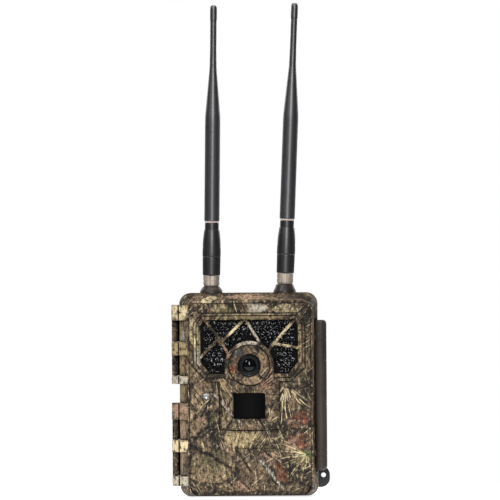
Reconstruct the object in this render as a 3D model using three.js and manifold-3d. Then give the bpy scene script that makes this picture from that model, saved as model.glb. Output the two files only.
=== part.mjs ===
// A camouflaged trail camera with two articulated whip antennas, in millimetres.
// +X is the camera's latch side, +Y its back (the tree side), +Z up; it stands on z = 0.
import * as THREE from "three";
import { mergeVertices } from "three/addons/utils/BufferGeometryUtils.js";
import Module from "manifold-3d";

const wasm = await Module();
wasm.setup();

// ---------- driving dimensions ----------
const BODY_LEFT = -49.0;
const BODY_RIGHT = 46.6;
const BODY_HEIGHT = 141;
const BODY_MID = (BODY_LEFT + BODY_RIGHT) / 2;
const FRONT_Y = -38; // the lens ring's front
const BACK_Y = 38; // the tree rails' back
const HALF_WIDTH = 54.5; // hinge column to lock eye
const FRONT_RIM = -2.0;
const REAR_RIM = -1.0;
const REAR_BACK = 31;
const PLATE_FACE = -34.0;
const PLATE_BACK = -32.4;
const WALL_FACE = -32.3;
const WALL_BACK = -29.6;
const BEZEL_FACE = -36.0;
const GAP = 0.3;

const LENS_X = -0.9;
const LENS_Z = 91.0;
const BEZEL_X = -0.85;
const RING_R = 14.0;
const COLLAR_R = 16.9;

const HINGE_X = -51.9;
const HINGE_Y = -1.5;
const HINGE_R = 2.6;
const HINGE_PIN_R = 1.1;
// each hinge from the top: knuckle edges, front and rear knuckles by turns
const HINGES = [
  [133, 122.2, 107.3, 98.1, 83.8, 78.3],
  [65.1, 53.7, 39.5, 31.2, 14.5, 7.6],
];

const LATCH_X = 48.45;
const LATCH_Y = -26.8;
const LATCH_R = 4.15;
const LATCH_Z = [18, 122];
const LATCH_LUGS = [
  [28, 32],
  [108, 112],
];

const EYE_X = 50.2;
const EYE_Z = 14.2;

const ANTENNA_Y = -14;
const ANTENNAS = [
  { side: "left", x: -26.8, base: BODY_HEIGHT, lean: 0.85 },
  { side: "right", x: 24.0, base: BODY_HEIGHT + 1.3, lean: 2.4 },
];
const TILT_Z = 32; // the tilt pivot above the antenna's foot

const TRIPOD_Y = 15;
const RAIL_OFFSET = 30;
const RAIL_WIDTH = 8;
const RAIL_Z = [20, 121];
const STRAP_Z = [57, 84];

const CELL_R = 7.25;
const COLUMNS = 4;
const CELL_PITCH = 17.6;
const CELL_Y = 12.4;
const CELL_ROWS = [20.6, 76.9];

const PANEL_FACE = -8.4;
const PANEL_BACK = -10.0;
const SHELF_FACE = -14.0;
const SHELF_BACK = -15.6;
const SHELF_Z = 48;
const BUTTONS = {
  menu: [-24, 85],
  up: [20, 94],
  left: [11, 85],
  ok: [20, 85],
  right: [29, 85],
  down: [20, 76],
};
const PANEL_LEFT = -42.5;
const PANEL_RIGHT = 40.1;
const SHELF_LAP = 1.6; // how far the panel's step reaches below the shelf's edge
const SD_SLOT = { left: -19.8, right: 4.4, front: -13.1, back: -10.9, top: 76 };
const SIM_SLOT = { left: 12, right: 27, front: -12.3, back: -11.3, top: 69.4 };
const SLOT_FLOOR = 40;
const SCREEN = { left: -27, right: 13, bottom: 101.5, top: 128.5 };
const SCREEN_LAP = 1.6; // the screen's pocket reaches this far past its window
const SWITCH_Z = 85;
const TRAY_HALF_WIDTH = 38;
const TRAY_Y = [4, 27.1];
const TRAY_Z = [16, 132];
const TRAY_WALL = 2;
const CELL_POCKET_R = 7.7;
const CELL_LENGTH = 50.5;
const PLUG_Y = 17;
const PLUG_Z = 30;
const SCREWS = [
  [-37.5, 127, PANEL_FACE],
  [35.1, 127, PANEL_FACE],
  [-37.5, 15, SHELF_FACE],
  [35.1, 15, SHELF_FACE],
];

// ---------- solids from three.js geometry ----------
function solidFrom(positions, index) {
  return new wasm.Manifold(
    new wasm.Mesh({ numProp: 3, vertProperties: positions, triVerts: new Uint32Array(index) }),
  );
}

function toSolid(geometry) {
  const bare = geometry.index ? geometry.toNonIndexed() : geometry;
  const plain = new THREE.BufferGeometry();
  plain.setAttribute("position", bare.getAttribute("position"));
  const merged = mergeVertices(plain, 1e-4);
  const old = merged.index.array;
  const index = [];
  for (let i = 0; i < old.length; i += 3) {
    const [a, b, c] = [old[i], old[i + 1], old[i + 2]];
    if (a !== b && b !== c && c !== a) index.push(a, b, c);
  }
  const made = solidFrom(merged.attributes.position.array, index);
  if (made.volume() > 0) return made;
  for (let i = 0; i < index.length; i += 3) [index[i], index[i + 1]] = [index[i + 1], index[i]];
  return solidFrom(merged.attributes.position.array, index);
}

function join(...solids) {
  return solids.flat().reduce((a, b) => a.add(b));
}

function cut(solid, ...tools) {
  return tools.flat().reduce((a, b) => a.subtract(b), solid);
}

function box(x0, x1, y0, y1, z0, z1) {
  const g = new THREE.BoxGeometry(x1 - x0, y1 - y0, z1 - z0);
  return toSolid(g.translate((x0 + x1) / 2, (y0 + y1) / 2, (z0 + z1) / 2));
}

function rodX(y, z, r, x0, x1, sides = 16) {
  const g = new THREE.CylinderGeometry(r, r, x1 - x0, sides).rotateZ(-Math.PI / 2);
  return toSolid(g.translate((x0 + x1) / 2, y, z));
}

function rodY(x, z, r, y0, y1, sides = 16, endR = r) {
  const g = new THREE.CylinderGeometry(endR, r, y1 - y0, sides);
  return toSolid(g.translate(x, (y0 + y1) / 2, z));
}

function rodZ(x, y, r, z0, z1, sides = 16, endR = r) {
  const g = new THREE.CylinderGeometry(endR, r, z1 - z0, sides).rotateX(Math.PI / 2);
  return toSolid(g.translate(x, y, (z0 + z1) / 2));
}

// a solid turned about an upright axis; the profile is [radius, z]
function turnedZ(profile, sides) {
  const points = profile.map(([r, z]) => new THREE.Vector2(r, z));
  return toSolid(new THREE.LatheGeometry(points, sides).rotateX(Math.PI / 2));
}

// a solid turned about an axis that points backwards; the profile is [radius, y]
function turnedY(profile, sides) {
  const points = profile.map(([r, y]) => new THREE.Vector2(r, y));
  return toSolid(new THREE.LatheGeometry(points, sides));
}

// rings of equally many [x, y, z] points skinned into one closed solid
function skin(rings, flat) {
  const n = rings[0].length;
  const positions = [];
  rings.forEach((ring) => ring.forEach((p) => positions.push(...p)));
  const index = [];
  for (let k = 0; k + 1 < rings.length; k++) {
    for (let i = 0; i < n; i++) {
      const j = (i + 1) % n;
      index.push(k * n + i, k * n + j, (k + 1) * n + j, k * n + i, (k + 1) * n + j, (k + 1) * n + i);
    }
  }
  const last = (rings.length - 1) * n;
  [rings[0], rings[rings.length - 1]].forEach((ring, end) => {
    const contour = ring.map((p) => new THREE.Vector2(...flat(p)));
    const turn = Math.sign(THREE.ShapeUtils.area(contour));
    THREE.ShapeUtils.triangulateShape(contour, []).forEach(([a, b, c]) => {
      const face = Math.sign(THREE.ShapeUtils.area([contour[a], contour[b], contour[c]]));
      const same = face === turn;
      const forward = end === 1 ? same : !same;
      const off = end * last;
      index.push(off + a, off + (forward ? b : c), off + (forward ? c : b));
    });
  });
  const g = new THREE.BufferGeometry();
  g.setAttribute("position", new THREE.Float32BufferAttribute(positions, 3));
  return toSolid(g.setIndex(index));
}

// [y, outline in x and z] sections skinned from front to back
function loftY(sections) {
  return skin(
    sections.map(([y, outline]) => outline.map(([x, z]) => [x, y, z])),
    ([x, , z]) => [x, z],
  );
}

function prismY(outline, y0, y1) {
  return loftY([
    [y0, outline],
    [y1, outline],
  ]);
}

function prismZ(outline, z0, z1) {
  return skin(
    [z0, z1].map((z) => outline.map(([x, y]) => [x, y, z])),
    ([x, y]) => [x, y],
  );
}

function prismX(outline, x0, x1) {
  return skin(
    [x0, x1].map((x) => outline.map(([y, z]) => [x, y, z])),
    ([, y, z]) => [y, z],
  );
}

// a rectangle with corner radii [bottom left, bottom right, top right, top left]
function roundRect(x0, x1, z0, z1, radii, steps = 4) {
  const r = Array.isArray(radii) ? radii : [radii, radii, radii, radii];
  const corners = [
    [x0 + r[0], z0 + r[0], r[0], 180],
    [x1 - r[1], z0 + r[1], r[1], 270],
    [x1 - r[2], z1 - r[2], r[2], 0],
    [x0 + r[3], z1 - r[3], r[3], 90],
  ];
  const points = [];
  corners.forEach(([cx, cz, radius, from]) => {
    for (let i = 0; i <= steps; i++) {
      const a = ((from + (90 * i) / steps) * Math.PI) / 180;
      points.push([cx + radius * Math.cos(a), cz + radius * Math.sin(a)]);
    }
  });
  return points;
}

// a polygon moved outwards by d, each corner kept sharp
function grow(points, d) {
  const n = points.length;
  const turn = Math.sign(THREE.ShapeUtils.area(points.map((p) => new THREE.Vector2(...p))));
  return points.map((p, i) => {
    const before = points[(i + n - 1) % n];
    const after = points[(i + 1) % n];
    const u = new THREE.Vector2(p[0] - before[0], p[1] - before[1]).normalize();
    const v = new THREE.Vector2(after[0] - p[0], after[1] - p[1]).normalize();
    const nu = new THREE.Vector2(u.y, -u.x);
    const nv = new THREE.Vector2(v.y, -v.x);
    const m = nu.clone().add(nv);
    const k = (turn * 2 * d) / m.lengthSq();
    return [p[0] + m.x * k, p[1] + m.y * k];
  });
}

function at(points, dx) {
  return points.map(([x, z]) => [x + dx, z]);
}

// ---------- outlines ----------
function bodyOutline(inset, r, floor = 0) {
  return roundRect(
    BODY_LEFT + inset,
    BODY_RIGHT - inset,
    floor + inset,
    BODY_HEIGHT - inset,
    r,
    4,
  );
}

function plateOutline(extra) {
  const r = [8 + extra, 8 + extra, 2.5 + extra, 2.5 + extra];
  return roundRect(-42.0 - extra, 41.3 + extra, 0.7 - extra, 133.7 + extra, r, 4);
}

const BEZEL = at(
  [
    [-32.25, 126.7],
    [-38.25, 119.7],
    [-38.25, 89.6],
    [-28.3, 80],
    [-20.55, 80],
    [-20.55, 47.2],
    [-10, 46.3],
    [10, 46.3],
    [20.55, 47.2],
    [20.55, 80],
    [28.3, 80],
    [38.25, 89.6],
    [38.25, 119.7],
    [32.25, 126.7],
  ],
  BEZEL_X,
);

const WINDOW = at(
  [
    [-30.75, 122.4],
    [-33.75, 118.7],
    [-33.75, 93.2],
    [-26.95, 85.2],
    [26.95, 85.2],
    [33.75, 93.2],
    [33.75, 118.7],
    [30.75, 122.4],
  ],
  BEZEL_X,
);

const INDICATOR_X = -30.7;
const INDICATOR_Z = 69.8;

const PAD = [
  [-18.2, 34],
  [-26.5, 24.5],
  [-26.5, 11.6],
  [26.5, 11.6],
  [26.5, 24.5],
  [18.2, 34],
];

// the lattice over the infrared window, each bar a chain of points
const LATTICE = [
  [
    [-33.6, 125],
    [-21.1, 109.1],
    [-15, 98],
  ],
  [
    [-35, 96.2],
    [-23, 108.6],
    [-20.6, 106.6],
    [-3.3, 123.5],
  ],
  [
    [-3.6, 123.5],
    [5.5, 108],
    [11, 101.5],
  ],
  [
    [32, 124],
    [16.5, 106.5],
    [12, 100.5],
  ],
  [
    [15.8, 106.1],
    [34.5, 102.5],
  ],
];
const BAR_WIDTH = 2.0;

// the round collar round the lens, with straight sides down to the column
function collar(r, y0, y1) {
  return join(
    rodY(LENS_X, LENS_Z, r, y0, y1, 32),
    box(LENS_X - r, LENS_X + r, y0, y1, 70, LENS_Z),
  );
}

function bar([x0, z0], [x1, z1], y0, y1) {
  const d = new THREE.Vector2(x1 - x0, z1 - z0).normalize();
  const e = 0.5;
  const w = BAR_WIDTH / 2;
  const corner = (x, z, along, across) => [
    x + d.x * along - d.y * across,
    z + d.y * along + d.x * across,
  ];
  return prismY(
    [corner(x0, z0, -e, -w), corner(x1, z1, e, -w), corner(x1, z1, e, w), corner(x0, z0, -e, w)],
    y0,
    y1,
  );
}

// ---------- rear half ----------
function lockTab(y0, y1) {
  const outline = roundRect(44.5, HALF_WIDTH, 6.8, 20.5, [0.5, 6.2, 6.2, 0.5], 6);
  return prismY(outline, y0, y1);
}

function lockHole() {
  return rodY(EYE_X, EYE_Z, 2.4, -10, 10, 20);
}

function rearKnuckle(z0, z1) {
  const arm = [
    [HINGE_X - HINGE_R, HINGE_Y],
    [HINGE_X - HINGE_R, HINGE_Y + 1.5],
    [HINGE_X - 0.8, 3.6],
    [-48.4, 5.6],
    [-48.4, -0.9],
    [HINGE_X, HINGE_Y],
  ];
  return join(rodZ(HINGE_X, HINGE_Y, HINGE_R, z0, z1, 16), prismZ(arm, z0, z1));
}

function rail(x) {
  const [z0, z1] = RAIL_Z;
  const base = box(x - RAIL_WIDTH / 2, x + RAIL_WIDTH / 2, 29, BACK_Y, z0, z1);
  const notches = [];
  for (let z = z0 + 6; z < z1 - 4; z += 9) {
    if (z > STRAP_Z[0] - 6 && z < STRAP_Z[1] + 6) continue;
    const tooth = [
      [BACK_Y - 3, z],
      [BACK_Y + 0.5, z - 3.2],
      [BACK_Y + 0.5, z + 3.2],
    ];
    notches.push(prismX(tooth, x - 6, x + 6));
  }
  const ramp = (z, up) =>
    prismX(
      [
        [REAR_BACK + 1, z],
        [BACK_Y + 1, z],
        [BACK_Y + 1, z + up * 8],
      ],
      x - 6,
      x + 6,
    );
  const strap = box(x - 6, x + 6, REAR_BACK, 36, ...STRAP_Z);
  return cut(base, notches, ramp(z0 - 0.01, 1), ramp(z1 + 0.01, -1), strap);
}

function rearHousing() {
  const outer = loftY([
    [REAR_RIM, bodyOutline(0, 8)],
    [25, bodyOutline(0, 8)],
    [REAR_BACK, bodyOutline(6, 5)],
  ]);
  const cavity = loftY([
    [REAR_RIM - 1, bodyOutline(4.2, 5)],
    [22, bodyOutline(4.2, 5)],
    [27.4, bodyOutline(6.8, 4)],
  ]);
  const groove = cut(
    prismY(bodyOutline(1.3, 6.7), REAR_RIM - 1, 0.6),
    prismY(bodyOutline(3.3, 5.2), REAR_RIM - 2, 2),
  );
  const boss = rodZ(BODY_MID, TRIPOD_Y, 7, 3, 13, 24);
  const rib = box(46, 47.9, 4, 6, 30, 110);
  const knuckles = HINGES.flatMap((h) => [
    rearKnuckle(h[2] + GAP / 2, h[1] - GAP / 2),
    rearKnuckle(h[4] + GAP / 2, h[3] - GAP / 2),
  ]);
  const rails = [-RAIL_OFFSET, RAIL_OFFSET].map((dx) => rail(BODY_MID + dx));
  const bridges = [24, 113].map((z) => box(BODY_MID - 28, BODY_MID + 28, 29, 33, z, z + 5));
  const body = join(cut(outer, cavity), boss, rib, lockTab(REAR_RIM, 3), knuckles, rails, bridges);
  return cut(
    body,
    groove,
    rodZ(BODY_MID, TRIPOD_Y, 4.9, -1, 9.5, 24),
    rodX(PLUG_Y, PLUG_Z, 3.4, 40, 50, 20),
    lockHole(),
    HINGES.map((h) => rodZ(HINGE_X, HINGE_Y, HINGE_PIN_R + 0.25, h[5] - 1, h[0] + 1, 12)),
  );
}

function tripodInsert() {
  return turnedZ(
    [
      [3.1, 0.3],
      [4.6, 0.3],
      [4.6, 9.2],
      [3.1, 9.2],
      [3.1, 0.3],
    ],
    24,
  );
}

function gasket() {
  return cut(
    prismY(bodyOutline(1.5, 6.5), -1.7, 0.4),
    prismY(bodyOutline(3.1, 5.4), -3, 2),
  );
}

function hingePin(h) {
  return rodZ(HINGE_X, HINGE_Y, HINGE_PIN_R, h[5] + 0.6, h[0] - 2.4, 12);
}

function cellX(column) {
  return BODY_MID + (column - (COLUMNS - 1) / 2) * CELL_PITCH;
}

function batteryTray() {
  const half = TRAY_HALF_WIDTH;
  const shell = box(BODY_MID - half, BODY_MID + half, ...TRAY_Y, ...TRAY_Z);
  const hollow = box(
    BODY_MID - half + TRAY_WALL,
    BODY_MID + half - TRAY_WALL,
    CELL_Y + 10,
    TRAY_Y[1] + 1,
    TRAY_Z[0] + TRAY_WALL,
    TRAY_Z[1] - TRAY_WALL,
  );
  const pockets = [];
  for (let column = 0; column < COLUMNS; column++) {
    for (const z of CELL_ROWS) {
      const x = cellX(column);
      const span = [z - 0.5, z + CELL_LENGTH + 0.5];
      pockets.push(
        box(x - CELL_POCKET_R, x + CELL_POCKET_R, TRAY_Y[0] - 1, CELL_Y, ...span),
        rodZ(x, CELL_Y, CELL_POCKET_R, ...span, 16),
      );
    }
  }
  const strips = [
    [18.4, 20.4],
    [127.8, 129.9],
  ].map(([z0, z1]) => box(BODY_MID - 34.2, BODY_MID + 34.2, TRAY_Y[0] - 1, 19.6, z0, z1));
  return cut(shell, hollow, pockets, strips);
}

function cell() {
  return turnedZ(
    [
      [0, 0],
      [CELL_R, 0],
      [CELL_R, 49.2],
      [2.7, 49.2],
      [2.7, CELL_LENGTH],
      [0, CELL_LENGTH],
    ],
    14,
  );
}

function contactStrip(z0, z1, up) {
  const bumps = [0, 1, 2, 3].map((c) =>
    up
      ? rodZ(cellX(c), CELL_Y, 3.2, z1 - 0.01, z1 + 0.35, 12, 2.2)
      : rodZ(cellX(c), CELL_Y, 2.2, z0 - 0.25, z0 + 0.01, 12, 3.2),
  );
  return join(box(BODY_MID - 33.9, BODY_MID + 33.9, 5.4, 19.3, z0, z1), bumps);
}

function dcPortPlug() {
  const square = (y, z, r, steps) =>
    roundRect(PLUG_Y - y, PLUG_Y + y, PLUG_Z - z, PLUG_Z + z, r, steps);
  const cap = prismX(square(5, 5, 3, 3), BODY_RIGHT, BODY_RIGHT + 1.4);
  const rim = prismX(square(6.4, 2, 1.4, 2), BODY_RIGHT, BODY_RIGHT + 0.8);
  return join(cap, rim, rodX(PLUG_Y, PLUG_Z, 3.1, 38.5, BODY_RIGHT + 0.5, 20));
}

// ---------- front half ----------
function frontKnuckle(z0, z1) {
  const arm = [
    [HINGE_X - HINGE_R, HINGE_Y],
    [HINGE_X - HINGE_R, -24],
    [-52.2, -28.6],
    [-44.0, -33.3],
    [-42.6, -33.3],
    [-42.6, -31.6],
    [-47.4, -22],
    [-47.4, FRONT_RIM],
    [-49.35, FRONT_RIM],
    [HINGE_X + HINGE_R - 0.05, HINGE_Y],
  ];
  return join(rodZ(HINGE_X, HINGE_Y, HINGE_R, z0, z1, 16), prismZ(arm, z0, z1));
}

function wallOpening(extra, y0, y1) {
  return cut(prismY(grow(WINDOW, extra), y0, y1), collar(COLLAR_R - extra, y0 - 1, y1 + 1));
}

function frontHousing() {
  const side = roundRect(BODY_LEFT, BODY_RIGHT, 0.4, BODY_HEIGHT, 7.5, 5);
  const outer = loftY([
    [-33.4, roundRect(-43.5, 42.8, 1.4, 135.5, 6.5, 5)],
    [-22, side],
    [FRONT_RIM, side],
  ]);
  const inside = roundRect(BODY_LEFT + 2.8, BODY_RIGHT - 2.8, 3.2, 138.2, 5, 5);
  const cavity = loftY([
    [WALL_BACK, roundRect(-40.6, 39.6, 6.5, 131.5, 4, 5)],
    [-20, inside],
    [FRONT_RIM + 1, inside],
  ]);
  const grooveBlock = box(40.2, 47, -34, -20.5, 11, 129).intersect(outer);
  const posts = SCREWS.map(([x, z, face]) => rodY(x, z, 3.2, -31, face - 1.9, 12));
  const pocketProfile = [
    [WALL_FACE, 136],
    [WALL_FACE, 11.75],
    [-26.8, -1],
    [-40, -1],
    [-40, 136],
  ];
  const pocket = prismX(pocketProfile, -60, 60).intersect(prismY(plateOutline(0.35), -41, -20));
  const lugs = LATCH_LUGS.map(([z0, z1]) =>
    join(
      rodZ(LATCH_X, LATCH_Y, LATCH_R, z0, z1, 24),
      box(42.5, LATCH_X, -29, -22.8, z0, z1),
    ),
  );
  const knuckles = HINGES.flatMap((h) =>
    [0, 2, 4].map((i) => frontKnuckle(h[i + 1] + GAP / 2, h[i] - GAP / 2)),
  );
  const bosses = ANTENNAS.map(({ x, base }) =>
    join(
      rodZ(x, ANTENNA_Y, 7.8, BODY_HEIGHT - 2, BODY_HEIGHT + 1.6, 24, 7.6),
      rodZ(x, ANTENNA_Y, 7.6, BODY_HEIGHT + 1.6, base + 4.5, 24, 5.7),
    ),
  );
  const shell = cut(
    join(cut(outer, cavity), grooveBlock, bosses),
    rodZ(LATCH_X, LATCH_Y, LATCH_R + 0.45, LATCH_Z[0] - 1, LATCH_Z[1] + 1, 24),
  );
  const body = join(shell, posts, lugs, knuckles, lockTab(-6, FRONT_RIM));
  return cut(
    body,
    pocket,
    wallOpening(1.0, -40, -20),
    rodY(LENS_X, LENS_Z, 7.7, -40, -20, 24),
    box(-9, 8, -40, -20, 56, 70),
    SCREWS.map(([x, z, face]) => rodY(x, z, 1.75, face - 11, face + 1, 12)),
    ANTENNAS.map(({ x }) => rodZ(x, ANTENNA_Y, 3.6, 136, 150, 20)),
    rodZ(LATCH_X, LATCH_Y, 1.45, 20, 120, 16),
    HINGES.map((h) => rodZ(HINGE_X, HINGE_Y, HINGE_PIN_R + 0.25, h[5] - 1, h[0] - 2, 12)),
    lockHole(),
  );
}

function facePlate() {
  const profile = [
    [PLATE_FACE, 134],
    [PLATE_FACE, 11.4],
    [-29.2, 0],
    [-27.3, 0],
    [PLATE_BACK, 11.9],
    [PLATE_BACK, 134],
  ];
  const plate = prismX(profile, -60, 60).intersect(prismY(plateOutline(0), -41, -20));
  const pad = loftY([
    [PLATE_FACE - 1.0, grow(PAD, -0.8)],
    [PLATE_FACE + 0.5, PAD],
  ]);
  const visor = box(-39.2, 37.5, -41, PLATE_FACE + 0.7, 126.9, 136);
  return cut(
    join(plate, pad),
    visor,
    prismY(grow(BEZEL, -2.0), -41, -20),
    rodY(INDICATOR_X, INDICATOR_Z, 2.3, -41, -20, 16),
  );
}

function frontBezel() {
  const face = loftY([
    [BEZEL_FACE, grow(BEZEL, -1.3)],
    [BEZEL_FACE + 0.9, BEZEL],
    [PLATE_FACE - 0.1, BEZEL],
  ]);
  const back = prismY(grow(BEZEL, -2.3), PLATE_FACE - 0.2, PLATE_BACK);
  const step = cut(
    loftY([
      [BEZEL_FACE - 0.5, grow(WINDOW, 2.2)],
      [BEZEL_FACE + 1.1, WINDOW],
      [-30, WINDOW],
    ]),
    collar(COLLAR_R, -50, -20),
  );
  const coverPocket = wallOpening(1.3, -33.5, -30);
  const bars = LATTICE.flatMap((chain) =>
    chain.slice(1).map((p, i) => bar(chain[i], p, -35.1, -33.5)),
  );
  const barsInside = join(bars).intersect(prismY(grow(WINDOW, 1.5), -40, -30));
  const seat = rodY(LENS_X, LENS_Z, RING_R + 0.6, -41, -20, 40);
  const pirWindow = loftY([
    [BEZEL_FACE - 0.5, roundRect(-13.0, 12.2, 52.4, 73.5, 1.2, 2)],
    [BEZEL_FACE + 1.2, roundRect(-11.4, 10.6, 54.0, 71.9, 1.2, 2)],
    [-30, roundRect(-11.4, 10.6, 54.0, 71.9, 1.2, 2)],
  ]);
  const pirPocket = box(-12.7, 11.9, -33.5, -30, 52.7, 73.2);
  const frame = cut(join(face, back), step, coverPocket);
  return cut(join(frame, barsInside), seat, pirWindow, pirPocket);
}

function ledCover() {
  return wallOpening(0.9, -33.4, PLATE_BACK);
}

function ledBoard() {
  const board = prismY(grow(WINDOW, 0.6), -29.5, -28.0);
  const edge = grow(WINDOW, -2.2);
  const leds = [];
  for (let row = 0; row < 7; row++) {
    for (let column = -6; column <= 6; column++) {
      const x = BEZEL_X + (column + (row % 2) / 2) * 6.4;
      const z = 87.8 + row * 5.4;
      const away = Math.hypot(x - LENS_X, z - LENS_Z);
      const beside = Math.abs(x - LENS_X) > 19.2 || z > LENS_Z;
      if (away < 19.2 || !beside || !inside(edge, x, z)) continue;
      leds.push(rodY(x, z, 1.4, -31.6, -29.4, 6, 1.9));
    }
  }
  return cut(join(board, leds), rodY(LENS_X, LENS_Z, 9.5, -40, -20, 24));
}

function inside(polygon, x, z) {
  let hit = false;
  polygon.forEach(([x0, z0], i) => {
    const [x1, z1] = polygon[(i + 1) % polygon.length];
    if (z0 > z !== z1 > z && x < ((x1 - x0) * (z - z0)) / (z1 - z0) + x0) hit = !hit;
  });
  return hit;
}

function lensRing() {
  return turnedY(
    [
      [7.7, PLATE_BACK],
      [RING_R, PLATE_BACK],
      [RING_R, -36.5],
      [13.2, -37.6],
      [11.6, FRONT_Y],
      [9.4, FRONT_Y],
      [8.2, -37.3],
      [7.7, -36.3],
      [7.7, PLATE_BACK],
    ],
    30,
  );
}

function lensBarrel() {
  return turnedY(
    [
      [4.0, -28.4],
      [7.4, -28.4],
      [7.4, -36.6],
      [7.0, -37.0],
      [6.4, -37.0],
      [5.0, -35.4],
      [5.0, -33.6],
      [4.0, -33.6],
      [4.0, -28.4],
    ],
    28,
  );
}

function lensGlass() {
  return turnedY(
    [
      [0, -36.2],
      [1.6, -36.05],
      [3.1, -35.6],
      [4.7, -34.6],
      [4.7, -33.7],
      [0, -33.7],
    ],
    20,
  );
}

function pirLens() {
  const flange = box(-12.4, 11.6, -33.4, -32.5, 53.0, 72.9);
  const arc = [];
  for (let i = 0; i <= 10; i++) {
    const u = (i / 10) * 2 - 1;
    arc.push([-0.4 + 10.2 * u, -33.9 - 1.2 * (1 - u * u)]);
  }
  arc.push([9.8, -33.0], [-10.6, -33.0]);
  return join(flange, prismZ(arc, 54.8, 71.1));
}

function pirSensor() {
  return join(rodY(-0.4, 63, 4.6, -29.2, -25.2, 20), rodY(-0.4, 63, 5.2, -25.5, -24.7, 20));
}

function indicatorLens() {
  return turnedY(
    [
      [0, -35.4],
      [0.9, -35.2],
      [1.6, -34.6],
      [2.0, -33.8],
      [2.0, -32.5],
      [0, -32.5],
    ],
    16,
  );
}

function mainBoard() {
  return cut(
    box(-32, 30, -24.6, -23.0, 12, 126),
    box(-33, -26, -26, -20, 11, 20),
    box(24, 31, -26, -20, 11, 20),
  );
}

function cardSlots(extra) {
  return [SD_SLOT, SIM_SLOT].map(({ left, right, front, back, top }) =>
    box(left - extra, right + extra, front - extra, back + extra, SLOT_FLOOR, top),
  );
}

function controlPanel() {
  const edge = SHELF_Z - SHELF_LAP;
  const sheet = (z0, z1, radii) => roundRect(PANEL_LEFT, PANEL_RIGHT, z0, z1, radii, 3);
  const upper = prismY(sheet(edge, 134, [0.5, 0.5, 4, 4]), PANEL_BACK, PANEL_FACE);
  const wall = box(PANEL_LEFT, PANEL_RIGHT, SHELF_BACK, PANEL_FACE, edge, SHELF_Z);
  const lower = prismY(sheet(7, SHELF_Z - 1, [4, 4, 0.5, 0.5]), SHELF_BACK, SHELF_FACE);
  const holders = [SD_SLOT, SIM_SLOT].map(({ left, right, front, top }) =>
    box(left - 2.1, right + 2.1, front - 2, PANEL_BACK, SHELF_Z - 1, top + 1),
  );
  const buttonHoles = Object.values(BUTTONS).map(([x, z]) => rodY(x, z, 3.3, -20, 0, 12));
  const screwHoles = SCREWS.map(([x, z]) => rodY(x, z, 1.7, -20, 0, 12));
  return cut(
    join(upper, wall, lower, holders),
    cardSlots(0.3),
    buttonHoles,
    screwHoles,
    box(-12.4, -1.6, -12, 0, SWITCH_Z - 1.8, SWITCH_Z + 1.8),
    box(SCREEN.left, SCREEN.right, -12, 0, SCREEN.bottom, SCREEN.top),
    box(
      SCREEN.left - SCREEN_LAP,
      SCREEN.right + SCREEN_LAP,
      -12,
      PANEL_FACE - 0.8,
      SCREEN.bottom - SCREEN_LAP,
      SCREEN.top + SCREEN_LAP,
    ),
  );
}

function lcdScreen() {
  const lap = SCREEN_LAP - 0.3;
  return box(
    SCREEN.left - lap,
    SCREEN.right + lap,
    -11.2,
    PANEL_FACE - 0.9,
    SCREEN.bottom - lap,
    SCREEN.top + lap,
  );
}

// keys and screws are drawn about their own axis, from the panel's face at y = 0
function button(big) {
  const r = big ? 3.0 : 2.8;
  return join(
    rodY(0, 0, r, -2.0, 1.2, 12),
    rodY(0, 0, r, 1.2, 1.6, 12, r - 0.5),
    rodY(0, 0, 3.9, -3.2, -1.9, 12),
  );
}

function modeSwitch() {
  return join(
    box(-12, -8, -10.5, -7.0, SWITCH_Z - 1.4, SWITCH_Z + 1.4),
    box(-13.5, -6.5, -11.4, -10.3, SWITCH_Z - 2.4, SWITCH_Z + 2.4),
  );
}

function sdCard() {
  const outline = [
    [-19.7, 43.5],
    [4.3, 43.5],
    [4.3, 72],
    [1.2, 75.5],
    [-19.7, 75.5],
  ];
  return prismY(outline, -13.05, -10.95);
}

function simCard() {
  const outline = [
    [12.1, 44.2],
    [26.9, 44.2],
    [26.9, 66.5],
    [24.5, 69],
    [12.1, 69],
  ];
  return prismY(outline, -12.2, -11.4);
}

function screw() {
  const head = rodY(0, 0, 2.9, 0, 1.2, 14, 2.4);
  const shank = rodY(0, 0, 1.4, -10, 0.2, 10);
  return cut(
    join(head, shank),
    box(-1.7, 1.7, 0.5, 2, -0.35, 0.35),
    box(-0.35, 0.35, 0.5, 2, -1.7, 1.7),
  );
}

function irCutFilter() {
  return box(-4.5, 4.5, -27.8, -27.0, -4.5, 4.5);
}

function imageSensor() {
  return join(
    box(-6, 6, -25.6, -24.7, -6, 6),
    box(-4, 4, -26.3, -25.5, -4, 4),
  );
}

// the latch is drawn about its pivot
function latchLever() {
  const [z0, z1] = LATCH_Z;
  const profile = [
    [0, z0],
    [LATCH_R - 2.2, z0],
    [LATCH_R - 0.6, z0 + 1.2],
    [LATCH_R, z0 + 3.4],
    [LATCH_R, z1 - 2.4],
    [LATCH_R - 0.7, z1 - 0.7],
    [LATCH_R - 2.2, z1],
    [0, z1],
  ];
  const bow = turnedZ(profile, 24);
  const plate = [
    [-0.25, 1.8],
    [2.45, 1.8],
    [2.45, 31.2],
    [3.95, 35.6],
    [-0.25, 35.6],
  ];
  const arm = prismZ(plate, z0 + 3, z1 - 3);
  const notches = LATCH_LUGS.map(([a, b]) => rodZ(0, 0, LATCH_R + 0.4, a - GAP, b + GAP, 24));
  return cut(join(bow, arm), notches, rodZ(0, 0, 1.45, 21, 119, 16));
}

function latchPin() {
  return rodZ(0, 0, 1.15, 21.5, 118.5, 14);
}

// ---------- antennas, drawn upright with the foot at the origin ----------
function antennaSocket(lift) {
  return turnedZ(
    [
      [0, -4.5 - lift],
      [4.8, -4.5 - lift],
      [4.8, -3.3 - lift],
      [3.0, -3.3 - lift],
      [3.0, 8.2],
      [0, 8.2],
    ],
    16,
  );
}

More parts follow.
